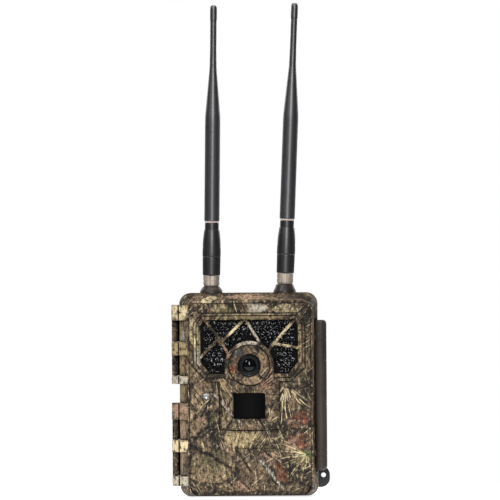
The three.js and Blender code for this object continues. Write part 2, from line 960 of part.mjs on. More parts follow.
function antennaNut() {
  const outline = [];
  for (let i = 0; i < 24; i++) {
    const a = (i / 24) * 2 * Math.PI;
    const r = i % 2 ? 5.15 : 5.6;
    outline.push([r * Math.cos(a), r * Math.sin(a)]);
  }
  const knurl = prismZ(outline, 5.6, 11.4);
  return cut(join(knurl, rodZ(0, 0, 5.2, 4.9, 12, 24)), rodZ(0, 0, 3.35, 4, 13, 20));
}

function antennaBase() {
  const foot = turnedZ(
    [
      [0, 8.7],
      [2.7, 8.7],
      [2.7, 12.3],
      [5.6, 12.3],
      [6.0, 12.9],
      [6.2, 24.4],
      [5.9, 25],
      [0, 25],
    ],
    24,
  );
  const tongue = join(box(-2.2, 2.2, -4.2, 4.2, 24, TILT_Z), rodX(0, TILT_Z, 4.2, -2.2, 2.2, 20));
  return cut(join(foot, tongue), rodX(0, TILT_Z, 1.3, -8, 8, 12));
}

function antennaPin() {
  return rodX(0, TILT_Z, 1.0, -5.3, 5.3, 12);
}

function antennaWhip() {
  const rod = turnedZ(
    [
      [0, 25.3],
      [5.9, 25.3],
      [6.3, 25.9],
      [6.25, 32],
      [5.7, 40],
      [5.3, 43.8],
      [4.8, 43.8],
      [4.8, 48.6],
      [3.4, 48.6],
      [3.4, 49.8],
      [5.25, 49.8],
      [5.25, 121],
      [4.9, 126],
      [3.6, 142],
      [2.4, 157],
      [2.2, 188.6],
      [2.4, 189],
      [2.4, 197.4],
      [1.7, 199],
      [0, 199.4],
    ],
    16,
  );
  const slot = box(-2.5, 2.5, -4.5, 8, 24, TILT_Z + 4.5);
  const heel = cut(box(-8, 8, 0, 9, 24, TILT_Z), rodX(0, TILT_Z, 6.6, -9, 9, 28));
  return cut(rod, slot, heel, rodX(0, TILT_Z, 1.3, -8, 8, 12));
}

function antennaRing() {
  return turnedZ(
    [
      [3.6, 48.7],
      [4.75, 48.7],
      [4.75, 49.7],
      [3.6, 49.7],
      [3.6, 48.7],
    ],
    20,
  );
}

// ---------- materials ----------
function material(color, roughness, metalness = 0) {
  return new THREE.MeshStandardMaterial({ color, roughness, metalness });
}

const CAMO = material(0x5b5140, 0.6);
const BLACK = material(0x0b0b0c, 0.45);
const LATCH_BROWN = material(0x3e3832, 0.5);
const ACRYLIC = material(0x060607, 0.12);
const CLEAR = material(0xc8ccd2, 0.1);
const PALE = material(0xd6bcb8, 0.55);
const NICKEL = material(0xa39d94, 0.28, 1);
const STEEL = material(0x9a9a9a, 0.35, 1);
const BRASS = material(0xb08a44, 0.35, 1);
const GLASS = material(0x11141c, 0.05);
const BOARD = material(0x0b3a1d, 0.5);
const LED_BOARD = material(0x0a0a0a, 0.35);
const RUBBER = material(0x101010, 0.75);
const JACKET = material(0x4a4a50, 0.35, 0.6);
const DISPLAY = material(0x0a0c10, 0.12);
const KEYS = material(0x1c1c1f, 0.7);
const CARD = material(0x101a30, 0.5);

// ---------- assembly ----------
const camera = new THREE.Group();
camera.name = "trail_camera";

function group(name, parent = camera) {
  const g = new THREE.Group();
  g.name = name;
  parent.add(g);
  return g;
}

function put(name, solid, look, parent, x = 0, y = 0, z = 0) {
  const m = solid.getMesh();
  const positions = new Float32Array(m.numVert * 3);
  for (let i = 0; i < m.numVert; i++) {
    positions.set(m.vertProperties.subarray(i * m.numProp, i * m.numProp + 3), i * 3);
  }
  const g = new THREE.BufferGeometry();
  g.setAttribute("position", new THREE.BufferAttribute(positions, 3));
  g.setIndex(new THREE.BufferAttribute(new Uint32Array(m.triVerts), 1));
  g.computeVertexNormals();
  const mesh = new THREE.Mesh(g, look);
  mesh.name = name;
  mesh.position.set(x, y, z);
  parent.add(mesh);
}

const rear = group("rear");
put("rear_housing", rearHousing(), CAMO, rear);
put("tripod_insert", tripodInsert(), BRASS, rear, BODY_MID, TRIPOD_Y);
put("gasket", gasket(), RUBBER, rear);
put("battery_tray", batteryTray(), BLACK, rear);
CELL_ROWS.forEach((z, row) => {
  for (let column = 0; column < COLUMNS; column++) {
    put("aa_cell_" + (row * COLUMNS + column + 1), cell(), JACKET, rear, cellX(column), CELL_Y, z);
  }
});
put("contact_strip_bottom", contactStrip(18.7, 20.2, true), STEEL, rear);
put("contact_strip_top", contactStrip(128.1, 129.6, false), STEEL, rear);
put("hinge_pin_upper", hingePin(HINGES[0]), STEEL, rear);
put("hinge_pin_lower", hingePin(HINGES[1]), STEEL, rear);
put("dc_port_plug", dcPortPlug(), RUBBER, rear);

const front = group("front");
put("front_housing", frontHousing(), CAMO, front);
put("face_plate", facePlate(), CAMO, front);
put("front_bezel", frontBezel(), CAMO, front);
put("led_cover", ledCover(), ACRYLIC, front);
put("led_board", ledBoard(), LED_BOARD, front);
put("pir_lens", pirLens(), ACRYLIC, front);
put("pir_sensor", pirSensor(), STEEL, front);
put("indicator_lens", indicatorLens(), CLEAR, front, INDICATOR_X, 0, INDICATOR_Z);
put("main_board", mainBoard(), BOARD, front);
put("control_panel", controlPanel(), BLACK, front);
put("lcd_screen", lcdScreen(), DISPLAY, front);
Object.entries(BUTTONS).forEach(([name, [x, z]]) => {
  put("button_" + name, button(name === "ok"), KEYS, front, x, PANEL_FACE, z);
});
put("mode_switch", modeSwitch(), BLACK, front);
put("sd_card", sdCard(), CARD, front);
put("sim_card", simCard(), CARD, front);
SCREWS.forEach(([x, z, face], i) => {
  put("panel_screw_" + (i + 1), screw(), STEEL, front, x, face, z);
});

const lens = group("lens", front);
lens.position.set(LENS_X, 0, LENS_Z);
put("lens_ring", lensRing(), CAMO, lens);
put("lens_barrel", lensBarrel(), BLACK, lens);
put("lens_glass", lensGlass(), GLASS, lens);
put("ir_cut_filter", irCutFilter(), GLASS, lens);
put("image_sensor", imageSensor(), BLACK, lens);

const latch = group("latch", front);
latch.position.set(LATCH_X, LATCH_Y, 0);
put("latch_lever", latchLever(), LATCH_BROWN, latch);
put("latch_pin", latchPin(), STEEL, latch);

ANTENNAS.forEach(({ side, x, base, lean }) => {
  const antenna = group("antenna_" + side, front);
  antenna.position.set(x, ANTENNA_Y, base);
  antenna.rotation.y = THREE.MathUtils.degToRad(lean);
  put("antenna_socket_" + side, antennaSocket(base - BODY_HEIGHT), NICKEL, antenna);
  put("antenna_nut_" + side, antennaNut(), NICKEL, antenna);
  put("antenna_base_" + side, antennaBase(), BLACK, antenna);
  put("antenna_pin_" + side, antennaPin(), STEEL, antenna);
  put("antenna_whip_" + side, antennaWhip(), BLACK, antenna);
  put("antenna_ring_" + side, antennaRing(), PALE, antenna);
});

export default camera;
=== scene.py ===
"""A camouflaged trail camera with two whip antennas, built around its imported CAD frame.

Lengths in this file are millimetres until a mesh is made. The front faces -Y.
"""

import math

import bmesh
import bpy
from mathutils import Matrix, Vector


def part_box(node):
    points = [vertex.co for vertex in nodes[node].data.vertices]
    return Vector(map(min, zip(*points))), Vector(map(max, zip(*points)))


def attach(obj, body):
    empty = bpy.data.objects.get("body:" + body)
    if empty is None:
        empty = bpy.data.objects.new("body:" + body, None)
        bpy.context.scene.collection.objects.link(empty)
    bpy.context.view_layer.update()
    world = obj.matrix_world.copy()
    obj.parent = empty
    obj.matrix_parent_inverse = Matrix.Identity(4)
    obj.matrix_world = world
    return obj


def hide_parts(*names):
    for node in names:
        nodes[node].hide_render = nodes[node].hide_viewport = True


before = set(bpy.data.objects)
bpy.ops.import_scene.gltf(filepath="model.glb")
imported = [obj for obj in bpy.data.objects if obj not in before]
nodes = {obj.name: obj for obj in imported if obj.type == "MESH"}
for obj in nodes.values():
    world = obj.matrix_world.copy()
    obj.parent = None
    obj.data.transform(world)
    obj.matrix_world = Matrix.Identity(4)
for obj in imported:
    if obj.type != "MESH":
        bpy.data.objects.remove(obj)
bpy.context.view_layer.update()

MM = 0.001


class Span:
    """A CAD node's box in millimetres."""

    def __init__(self, node):
        lo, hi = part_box(node)
        self.x0, self.y0, self.z0 = (c / MM for c in lo)
        self.x1, self.y1, self.z1 = (c / MM for c in hi)
        self.cx = (self.x0 + self.x1) / 2
        self.cy = (self.y0 + self.y1) / 2
        self.cz = (self.z0 + self.z1) / 2


# ---------- places taken from the frame ----------
REAR = Span("gasket")
PLATE = Span("face_plate")
BEZEL = Span("front_bezel")
RING = Span("lens_ring")
DOME = Span("indicator_lens")
LATCH = Span("latch_lever")
HOUSING = Span("front_housing")
TRIPOD = Span("tripod_insert")

BODY_LEFT = REAR.x0 - 1.5
BODY_RIGHT = REAR.x1 + 1.5
BODY_TOP = REAR.z1 + 1.5
BODY_MID = (BODY_LEFT + BODY_RIGHT) / 2
HALF_WIDTH = (BODY_RIGHT - BODY_LEFT) / 2
FRONT_RIM = -2.0
REAR_RIM = -1.7
PLATE_FACE = PLATE.y0 + 1.0
PLATE_BACK = -32.4
WALL_FACE = -32.3
WALL_BACK = -29.6
BEZEL_FACE = BEZEL.y0
LENS_X, LENS_Z = RING.cx, RING.cz
BEZEL_X = BEZEL.cx
RING_R = (RING.x1 - RING.x0) / 2
COLLAR_R = RING_R + 2.9

HINGE_R = 2.6
HINGE_X = HOUSING.x0 + HINGE_R
HINGE_Y = -1.5
HINGES = [[133, 122.2, 107.3, 98.1, 83.8, 78.3], [65.1, 53.7, 39.5, 31.2, 14.5, 7.6]]
HINGE_GAP = 0.09
LATCH_R = 4.15
LATCH_X = LATCH.x0 + LATCH_R
LATCH_Y = LATCH.y0 + LATCH_R
LATCH_LUGS = [[28, 32], [108, 112]]
EYE_X, EYE_Z = HOUSING.x1 - 4.3, 14.2
ANTENNA_Y = -14.0
ANTENNAS = {
    "left": {"x": -26.8, "base": BODY_TOP, "lean": 0.85},
    "right": {"x": 24.0, "base": BODY_TOP + 1.3, "lean": 2.4},
}
TILT_Z = 32.0

HINGE_AT = (HINGE_X, HINGE_Y, 0)
LATCH_AT = (LATCH_X, LATCH_Y, 0)
LENS_AT = (LENS_X, 0, LENS_Z)
DOME_AT = (DOME.cx, 0, DOME.cz)
TILT_AT = (0, 0, TILT_Z)
TRIPOD_AT = (TRIPOD.cx, TRIPOD.cy, 0)
HINGE_BORE = 1.35
LATCH_BORE = 1.45
CORNER_R = 7.5
SHOULDER_BACK, SHOULDER_START, SHOULDER_BEND, SHOULDER_RUN = -19, -22, -25, 11.4
COVER_FACE = -33.4
LATCH_SEAMS = (64.0, 94.0)
LAMP_PITCH = 3.75
LAMP_LOWEST = 87.6
RAIL_Z = (20, 121)
STRAP_Z = (57, 84)

# A cut right through the front wall runs between these depths.
AHEAD, BEHIND = -41, -20

# A housing piece's body, slot and CAD node.
FRONT_HOUSING = ("front", "camo_plastic", "front_housing")
REAR_HOUSING = ("rear", "camo_plastic", "rear_housing")


# ---------- mesh helpers ----------
ORIGIN = (0, 0, 0)
AXES = {
    "X": ((0, 1, 0), (0, 0, 1), (1, 0, 0)),
    "Y": ((1, 0, 0), (0, 0, 1), (0, 1, 0)),
    "Z": ((1, 0, 0), (0, 1, 0), (0, 0, 1)),
}
WELD = 1e-6


def make(name, verts, faces, material):
    """An object from points in millimetres."""
    mesh = bpy.data.meshes.new(name)
    mesh.from_pydata([Vector(v) * MM for v in verts], [], faces)
    obj = bpy.data.objects.new(name, mesh)
    bpy.context.scene.collection.objects.link(obj)
    bm = bmesh.new()
    bm.from_mesh(mesh)
    bmesh.ops.remove_doubles(bm, verts=bm.verts, dist=WELD)
    bmesh.ops.recalc_face_normals(bm, faces=bm.faces)
    bm.to_mesh(mesh)
    bm.free()
    if material:
        mesh.materials.append(materials[material])
    return obj


def band(a, b, n):
    """The faces between two rings of n points that start at points a and b."""
    return [(a + i, a + (i + 1) % n, b + (i + 1) % n, b + i) for i in range(n)]


def skin(name, rings, material=None):
    """Rings of equally many points skinned into one solid with end caps."""
    n = len(rings[0])
    verts = [p for ring in rings for p in ring]
    faces = []
    for k in range(len(rings) - 1):
        faces += band(k * n, (k + 1) * n, n)
    faces += [tuple(range(n)), tuple(range(len(verts) - n, len(verts)))]
    return make(name, verts, faces, material)


def loft_y(name, sections, material=None):
    return skin(name, [[(x, y, z) for x, z in ring] for y, ring in sections], material)


def prism_y(name, outline, y0, y1, material=None):
    return loft_y(name, [(y0, outline), (y1, outline)], material)


def prism_z(name, outline, z0, z1, material=None):
    return skin(name, [[(x, y, z) for x, y in outline] for z in (z0, z1)], material)


def prism_x(name, outline, x0, x1, material=None):
    return skin(name, [[(x, y, z) for y, z in outline] for x in (x0, x1)], material)


def box(name, x0, x1, y0, y1, z0, z1, material=None):
    return prism_z(name, [(x0, y0), (x1, y0), (x1, y1), (x0, y1)], z0, z1, material)


def without_slivers(obj):
    """Drops the edges and faces that a profile's points on the axis leave without any length."""
    bm = bmesh.new()
    bm.from_mesh(obj.data)
    bmesh.ops.dissolve_degenerate(bm, edges=bm.edges, dist=WELD)
    bm.to_mesh(obj.data)
    bm.free()
    return obj


def lathe(name, profile, axis, at=ORIGIN, sides=64, material=None):
    """The profile, points of radius and height, turned about an axis through a point. A profile
    that ends on the axis makes a solid, and one that doesn't is closed on itself."""
    u, v, w = (Vector(a) for a in AXES[axis])
    verts, faces = [], []
    for r, h in profile:
        for i in range(sides):
            a = math.tau * i / sides
            verts.append(Vector(at) + (u * math.cos(a) + v * math.sin(a)) * r + w * h)
    solid = profile[0][0] == 0
    count = len(profile)
    for k in range(count - 1 if solid else count):
        faces += band(k * sides, (k + 1) % count * sides, sides)
    return without_slivers(make(name, verts, faces, material))


def rod(name, axis, at, r, h0, h1, sides=48, material=None):
    return lathe(name, [(0, h0), (r, h0), (r, h1), (0, h1)], axis, at, sides, material)


def settle(obj):
    """Applies an object's modifiers to its mesh."""
    bpy.context.view_layer.update()
    depsgraph = bpy.context.evaluated_depsgraph_get()
    mesh = bpy.data.meshes.new_from_object(obj.evaluated_get(depsgraph))
    obj.modifiers.clear()
    obj.data = mesh
    return obj


def combine(obj, tools, operation):
    """obj joined with, or cut by, the tools, which are used up."""
    for tool in tools:
        step = obj.modifiers.new("combine", "BOOLEAN")
        step.operation = operation
        step.solver = "EXACT"
        step.object = tool
    settle(obj)
    for tool in tools:
        bpy.data.objects.remove(tool)
    return obj


def cut(obj, *tools):
    return combine(obj, tools, "DIFFERENCE")


def join(obj, *tools):
    return combine(obj, tools, "UNION")


def soften(obj, width=0.4, segments=3, angle=30, sharp=38):
    """Rounded edges and smooth shading."""
    weld = obj.modifiers.new("weld", "WELD")
    weld.merge_threshold = 2 * WELD
    flat = obj.modifiers.new("flat", "DECIMATE")
    flat.decimate_type = "DISSOLVE"
    flat.angle_limit = math.radians(0.6)
    if width:
        edge = obj.modifiers.new("edge", "BEVEL")
        edge.width = width * MM
        edge.segments = segments
        edge.limit_method = "ANGLE"
        edge.angle_limit = math.radians(angle)
        edge.use_clamp_overlap = True
        edge.miter_outer = "MITER_ARC"
    shade(settle(obj), sharp)
    level = obj.modifiers.new("level", "WEIGHTED_NORMAL")
    level.keep_sharp = True
    return settle(obj)


def shade(obj, sharp=38):
    for p in obj.data.polygons:
        p.use_smooth = True
    obj.data.set_sharp_from_angle(angle=math.radians(sharp))
    return obj


def place(obj, body, slot, *replaced):
    """A finished piece on its CAD body, with the nodes it stands for hidden. The slot is not used."""
    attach(obj, body)
    if replaced:
        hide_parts(*replaced)
    return obj


def turned_piece(name, profile, axis, at, sides, material, sharp, *where):
    """A finished piece from a turned profile alone: where is its body, slot and node."""
    return place(shade(lathe(name, profile, axis, at, sides, material), sharp), *where)


def round_rect(x0, x1, z0, z1, radii, steps=8):
    """A rectangle with corner radii: bottom left, bottom right, top right, top left."""
    r = radii if isinstance(radii, (list, tuple)) else [radii] * 4
    corners = [
        (x0 + r[0], z0 + r[0], r[0], 180),
        (x1 - r[1], z0 + r[1], r[1], 270),
        (x1 - r[2], z1 - r[2], r[2], 0),
        (x0 + r[3], z1 - r[3], r[3], 90),
    ]
    points = []
    for cx, cz, radius, start in corners:
        for i in range(steps + 1):
            a = math.radians(start + 90 * i / steps)
            points.append((cx + radius * math.cos(a), cz + radius * math.sin(a)))
    return points


def grow(points, d):
    """A polygon moved outwards by d, each corner kept sharp."""
    n = len(points)
    area = sum(
        points[i][0] * points[(i + 1) % n][1] - points[(i + 1) % n][0] * points[i][1]
        for i in range(n)
    )
    turn = 1 if area > 0 else -1
    out = []
    for i, p in enumerate(points):
        q = Vector(p)
        a = (q - Vector(points[i - 1])).normalized()
        b = (Vector(points[(i + 1) % n]) - q).normalized()
        m = Vector((a.y + b.y, -a.x - b.x))
        out.append(tuple(q + m * (turn * 2 * d / m.length_squared)))
    return out


# ---------- node helpers ----------
def add(tree, kind, inputs, **options):
    """A shader node with its options set and its inputs fed, each by its label or number."""
    node = tree.nodes.new("ShaderNode" + kind)
    for name, value in options.items():
        setattr(node, name, value)
    for label, value in inputs.items():
        feed(node.inputs[label], value)
    return node


def feed(socket, value):
    if isinstance(value, Wire):
        value.tree.links.new(value.socket, socket)
    else:
        socket.default_value = value


def operation(name):
    """A method of Wire that is one of the Math node's operations."""
    return lambda self, *others: self.math(name, *others)


class Wire:
    """An output in a node tree that takes arithmetic."""

    def __init__(self, node, output=0):
        self.tree, self.socket = node.id_data, node.outputs[output]

    def math(self, operation, *others):
        return Wire(add(self.tree, "Math", dict(enumerate((self, *others))), operation=operation))

    __add__ = operation("ADD")
    __sub__ = operation("SUBTRACT")
    __mul__ = operation("MULTIPLY")
    __truediv__ = operation("DIVIDE")
    abs, sin, cos = operation("ABSOLUTE"), operation("SINE"), operation("COSINE")
    max, min = operation("MAXIMUM"), operation("MINIMUM")

    def __rsub__(self, o):
        return (self * -1.0) + o

    def step(self, low, high):
        """0 at low and 1 at high, smooth between; low may be above high."""
        ends = {"Value": self, "From Min": low, "From Max": high}
        return Wire(add(self.tree, "MapRange", ends, interpolation_type="SMOOTHSTEP"))


def vector(x, y, z=0.0):
    return Wire(add(x.tree, "CombineXYZ", {"X": x, "Y": y, "Z": z}))


def parts(wire):
    node = add(wire.tree, "SeparateXYZ", {0: wire})
    return [Wire(node, i) for i in range(3)]


def channels(colour):
    """A colour's three channels. A colour fed to a vector socket would work too, but the render engine
    turns it round last of all, and runs out of room for what waits on it."""
    node = add(colour.tree, "SeparateColor", {0: colour})
    return [Wire(node, i) for i in range(3)]


def noise(where, scale=1.0, detail=3.0, roughness=0.55, distortion=0.0):
    inputs = {"Vector": where, "Scale": scale, "Detail": detail, "Roughness": roughness}
    return Wire(add(where.tree, "TexNoise", {**inputs, "Distortion": distortion}), "Fac")


def mix(share, a, b):
    node = add(share.tree, "Mix", {"Factor": share}, data_type="RGBA")
    colour_inputs = [socket for socket in node.inputs if socket.type == "RGBA"]
    for socket, value in zip(colour_inputs, (a, b)):
        feed(socket, value if isinstance(value, Wire) else (*value, 1.0))
    return Wire(node, [socket.type for socket in node.outputs].index("RGBA"))


def ramp(wire, stops):
    node = add(wire.tree, "ValToRGB", {0: wire})
    elements = node.color_ramp.elements
    while len(elements) < len(stops):
        elements.new(0.5)
    for element, (position, colour) in zip(elements, stops):
        element.position = position
        element.color = (*colour, 1.0)
    return Wire(node)


def fade(wire, low, high):
    """A colour that goes with soft noise from low to high."""
    return ramp(wire, [(0.3, low), (0.7, high)])


def srgb(r, g, b):
    """A colour given as 0 to 255 display values."""
    return tuple(((c / 255 + 0.055) / 1.055) ** 2.4 if c > 10 else c / 255 / 12.92 for c in (r, g, b))


def new_material(name, roughness=0.5, metallic=0.0, specular=0.5, **extra):
    m = bpy.data.materials.new(name)
    m.use_nodes = True
    tree = m.node_tree
    shader = next(n for n in tree.nodes if n.type == "BSDF_PRINCIPLED")
    fixed = {"Metallic": metallic, "Roughness": roughness, "Specular IOR Level": specular, **extra}
    for label, value in fixed.items():
        shader.inputs[label.replace("_", " ")].default_value = value
    return m, tree, shader


def object_mm(tree):
    place_of = Wire(add(tree, "TexCoord", {}), "Object")
    return Wire(add(tree, "VectorMath", {0: place_of, "Scale": 1 / MM}, operation="SCALE"))


def bump(shader, height, depth_mm):
    inputs = {"Distance": depth_mm * MM, "Strength": 1.0, "Height": height}
    feed(shader.inputs["Normal"], Wire(add(height.tree, "Bump", inputs)))


def dress(shader, colour, roughness):
    feed(shader.inputs["Base Color"], colour)
    feed(shader.inputs["Roughness"], roughness)


def moulded(name, colour, roughness=0.45, vary=0.25, grain=0.02, specular=0.5, metallic=0.0,
            grain_scale=2.5, stretch=(1, 1, 1), **extra):
    """A moulded or plated surface: one colour with soft patches, uneven gloss and a fine grain."""
    m, tree, shader = new_material(name, roughness, metallic, specular, **extra)
    x, y, z = parts(object_mm(tree))
    q = vector(x * stretch[0], y * stretch[1], z * stretch[2])
    patches = noise(q, 0.12, 4.0)
    low = tuple(c * (1 - vary) for c in colour)
    high = tuple(min(1.0, c * (1 + vary)) for c in colour)
    tint = fade(patches, low, high)
    smudge = noise(q, 0.45, 3.0)
    dress(shader, tint, smudge * 0.16 + (roughness - 0.08))
    bump(shader, noise(q, grain_scale, 2.0), grain)
    return m


# ---------- the camouflage film ----------
SOIL = srgb(18, 15, 14)
BARK = srgb(68, 56, 46)
LOAM = srgb(104, 86, 67)
TAN = srgb(150, 127, 99)
PINK_TAN = srgb(168, 136, 114)
CREAM = srgb(232, 213, 170)
OLIVE = srgb(116, 108, 76)
STRAW = srgb(174, 153, 112)
MOSS = srgb(70, 92, 50)
RUST = srgb(134, 78, 56)
LICHEN = srgb(194, 184, 166)


class Stamp:
    """One kind of print layer, kept as a node group: it lays a shape over the colour under it."""

    def __init__(self, name, numbers, colours, draw):
        self.group = bpy.data.node_groups.new(name, "ShaderNodeTree")
        entry = self.group.nodes.new("NodeGroupInput")
        face = self.group.interface
        for label in ["Under", *colours]:
            face.new_socket(label, in_out="INPUT", socket_type="NodeSocketColor")
        for label in ["U", "V", *numbers.split()]:
            face.new_socket(label, in_out="INPUT", socket_type="NodeSocketFloat")
        face.new_socket("Over", in_out="OUTPUT", socket_type="NodeSocketColor")
        over = draw({s.name: Wire(entry, s.name) for s in entry.outputs if s.name})
        leave = self.group.nodes.new("NodeGroupOutput")
        feed(leave.inputs[0], over)

    def lay(self, **values):
        node = add(values["U"].tree, "Group", {}, node_tree=self.group)
        for label, value in values.items():
            feed(node.inputs[label], (*value, 1.0) if isinstance(value, tuple) else value)
        return Wire(node)


def turned(u, v, angle):
    """The coordinates turned by an angle in radians, as along and across."""
    c, s = angle.cos(), angle.sin()
    return u * c + v * s, v * c - u * s


def random_cells(a, b, along, across, seed):
    """Random cells: the offset from the cell's centre in mm, and three random numbers."""
    where = vector(a / along + seed, b / across)
    web = add(a.tree, "TexVoronoi", {"Scale": 1.0, "Vector": where}, voronoi_dimensions="2D")
    px, py, _ = parts(Wire(web, "Position"))
    wx, wy, _ = parts(where)
    return (wx - px) * along, (wy - py) * across, channels(Wire(web, "Color"))


def pick(lot, ins, blur=0.03):
    """One of a layer's three colours by a random number, with some blur where they meet."""
    first = mix(lot.step(0.33 - blur, 0.33 + blur), ins["A"], ins["B"])
    return mix(lot.step(0.67 - blur, 0.67 + blur), first, ins["C"])


def mottle(ins, across, up, detail=3.0, seed=0.0):
    """Noise over a layer's own coordinates, with a scale across and a scale up."""
    return noise(vector(ins["U"] * across, ins["V"] * up, seed), 1.0, detail)


def draw_strokes(ins):
    """Needles, grass and twigs that all lie about one way."""
    a, b = turned(ins["U"], ins["V"], ins["Angle"])
    b = b + (a * 0.09 + ins["Seed"]).sin() * ins["Pitch"] * 0.7
    a, b, lots = random_cells(a, b, ins["Length"], ins["Pitch"], ins["Seed"])
    half = ins["Width"] * 0.5
    body = (half - b.abs()).step(-0.05, 0.18) * (ins["Length"] * 0.5 - a.abs()).step(0.0, 3.0)
    body = body * (ins["Share"] - lots[1]).step(0.0, 0.02)
    lit = (b / half).step(-1.0, 0.8) * 0.75 + 0.25
    return mix(body, ins["Under"], mix(lit, SOIL, pick(lots[0], ins)))


def leaf_over(ins, a, b, lot, keep):
    """A leaf blade with a midrib, side veins and a soft shadow round it."""
    t, side = a / ins["Length"], b.abs()
    edge = (1.0 - t * t) * ins["Width"] + (a * 2.4).sin() * 0.22 - side
    under = mix(edge.step(-1.6, 0.3) * keep * 0.65, ins["Under"], SOIL)
    veins = ((a + side * 1.2) * 1.9).sin().step(0.55, 1.0) * 0.35
    rib = side.step(0.42, 0.12) * 0.6
    grain = mottle(ins, 0.5, 0.5)
    tint = pick(lot + (grain - 0.5) * 0.6, ins, 0.2)
    tint = mix((b * 0.4).step(-1.0, 1.0) * 0.35, tint, SOIL)
    tint = mix(veins.max(rib), tint, BARK)
    streaks = mottle(ins, 1.1, 0.22)
    tint = mix(streaks.step(0.58, 0.36) * 0.6, tint, SOIL)
    return mix(edge.step(0.0, 0.3) * keep, under, tint)


def draw_leaves(ins):
    """Scattered leaves."""
    a, b, lots = random_cells(ins["U"], ins["V"], ins["Cell"], ins["Cell"], ins["Seed"])
    a, b = turned(a, b, lots[2] * ins["Spread"] + ins["Angle"])
    return leaf_over(ins, a, b, lots[0], (ins["Share"] - lots[1]).step(0.0, 0.02))


def draw_leaf(ins):
    """One leaf about its own middle."""
    a, b = turned(ins["U"] - ins["X"], ins["V"] - ins["Z"], ins["Angle"])
    b = b + (a * 1.1 / ins["Length"]).sin() * ins["Width"] * 0.25
    lot = mottle(ins, 0.12, 0.12)
    return leaf_over(ins, a, b, lot.step(0.3, 0.7), ins["Width"].step(0.0, 0.1))


def draw_branch(ins):
    """A twig or limb from its root, thick at one end."""
    a, b = turned(ins["U"] - ins["X"], ins["V"] - ins["Z"], ins["Angle"])
    knots = mottle(ins, 0.16, 0.16, 3.0, ins["X"]) - 0.5
    b = b + knots * (ins["Root"] * 0.4 + 2.6)
    half = (ins["Root"] + (ins["Tip"] - ins["Root"]) * a / ins["Length"]) * 0.5
    ends = a.step(-1.0, 0.5) * (ins["Length"] - a).step(-1.0, 1.0)
    near = half - b.abs()
    under = mix(near.step(-1.8, 0.2) * ends * 0.6, ins["Under"], SOIL)
    bark = mottle(ins, 0.9, 0.35, 4.0, ins["X"])
    tone = mix(bark.step(0.40, 0.60), ins["B"], ins["A"])
    tone = mix((b / ins["Root"]).step(-0.5, 0.5) * 0.7, tone, ins["B"])
    return mix(near.step(-0.05, 0.35) * ends, under, tone)


def draw_burst(ins):
    """Needles that fan out from a point over an arc."""
    du, dv = ins["U"] - ins["X"], ins["V"] - ins["Z"]
    r = (du * du + dv * dv).math("SQRT")
    turn = dv.math("ARCTAN2", du)
    lanes = (turn + (r * 0.16).sin() * 0.05) * ins["Needles"] * (1 / math.tau)
    lane = lanes.math("FLOOR")
    chance = add(r.tree, "TexWhiteNoise", {"W": lane + ins["Seed"]}, noise_dimensions="1D")
    lots = channels(Wire(chance, "Color"))
    middle = lots[2] * 0.7 + 0.15
    off = (lanes - lane - middle).abs() * r / ins["Needles"] * math.tau
    tip = lots[0] * (ins["Outer"] - ins["Inner"]) + ins["Inner"]
    body = (ins["Width"] * 0.5 - off).step(-0.1, 0.18) * (tip - r).step(0.0, 2.5)
    away = turn - ins["Angle"]
    swing = away.sin().math("ARCTAN2", away.cos()).abs()
    body = body * (r - ins["Inner"]).step(0.0, 0.8) * (ins["Arc"] - swing).step(0.0, 0.08)
    return mix(body, ins["Under"], pick(lots[1], ins))


def draw_patch(ins):
    """A ragged blot of one colour."""
    du, dv = (ins["U"] - ins["X"]) / ins["Width"], (ins["V"] - ins["Z"]) / ins["Height"]
    ragged = (mottle(ins, 0.22, 0.22, 4.0, ins["X"]) - 0.5) * 1.3
    near = (du * du + dv * dv).math("SQRT") + ragged
    fine = mottle(ins, 0.7, 0.45, 4.0)
    body = near.step(1.0, 0.55) * (fine * 0.7 + 0.55).min(1.0) * ins["Share"]
    return mix(body, ins["Under"], ins["A"])


STROKES = Stamp("strokes", "Angle Length Pitch Width Share Seed", "ABC", draw_strokes)
LEAVES = Stamp("leaves", "Angle Spread Length Width Cell Share Seed", "ABC", draw_leaves)
LEAF = Stamp("leaf", "X Z Angle Length Width", "ABC", draw_leaf)
BRANCH = Stamp("branch", "X Z Angle Length Root Tip", "AB", draw_branch)
BURST = Stamp("burst", "X Z Inner Outer Needles Width Angle Arc Seed", "ABC", draw_burst)
PATCH = Stamp("patch", "X Z Width Height Share", "A", draw_patch)


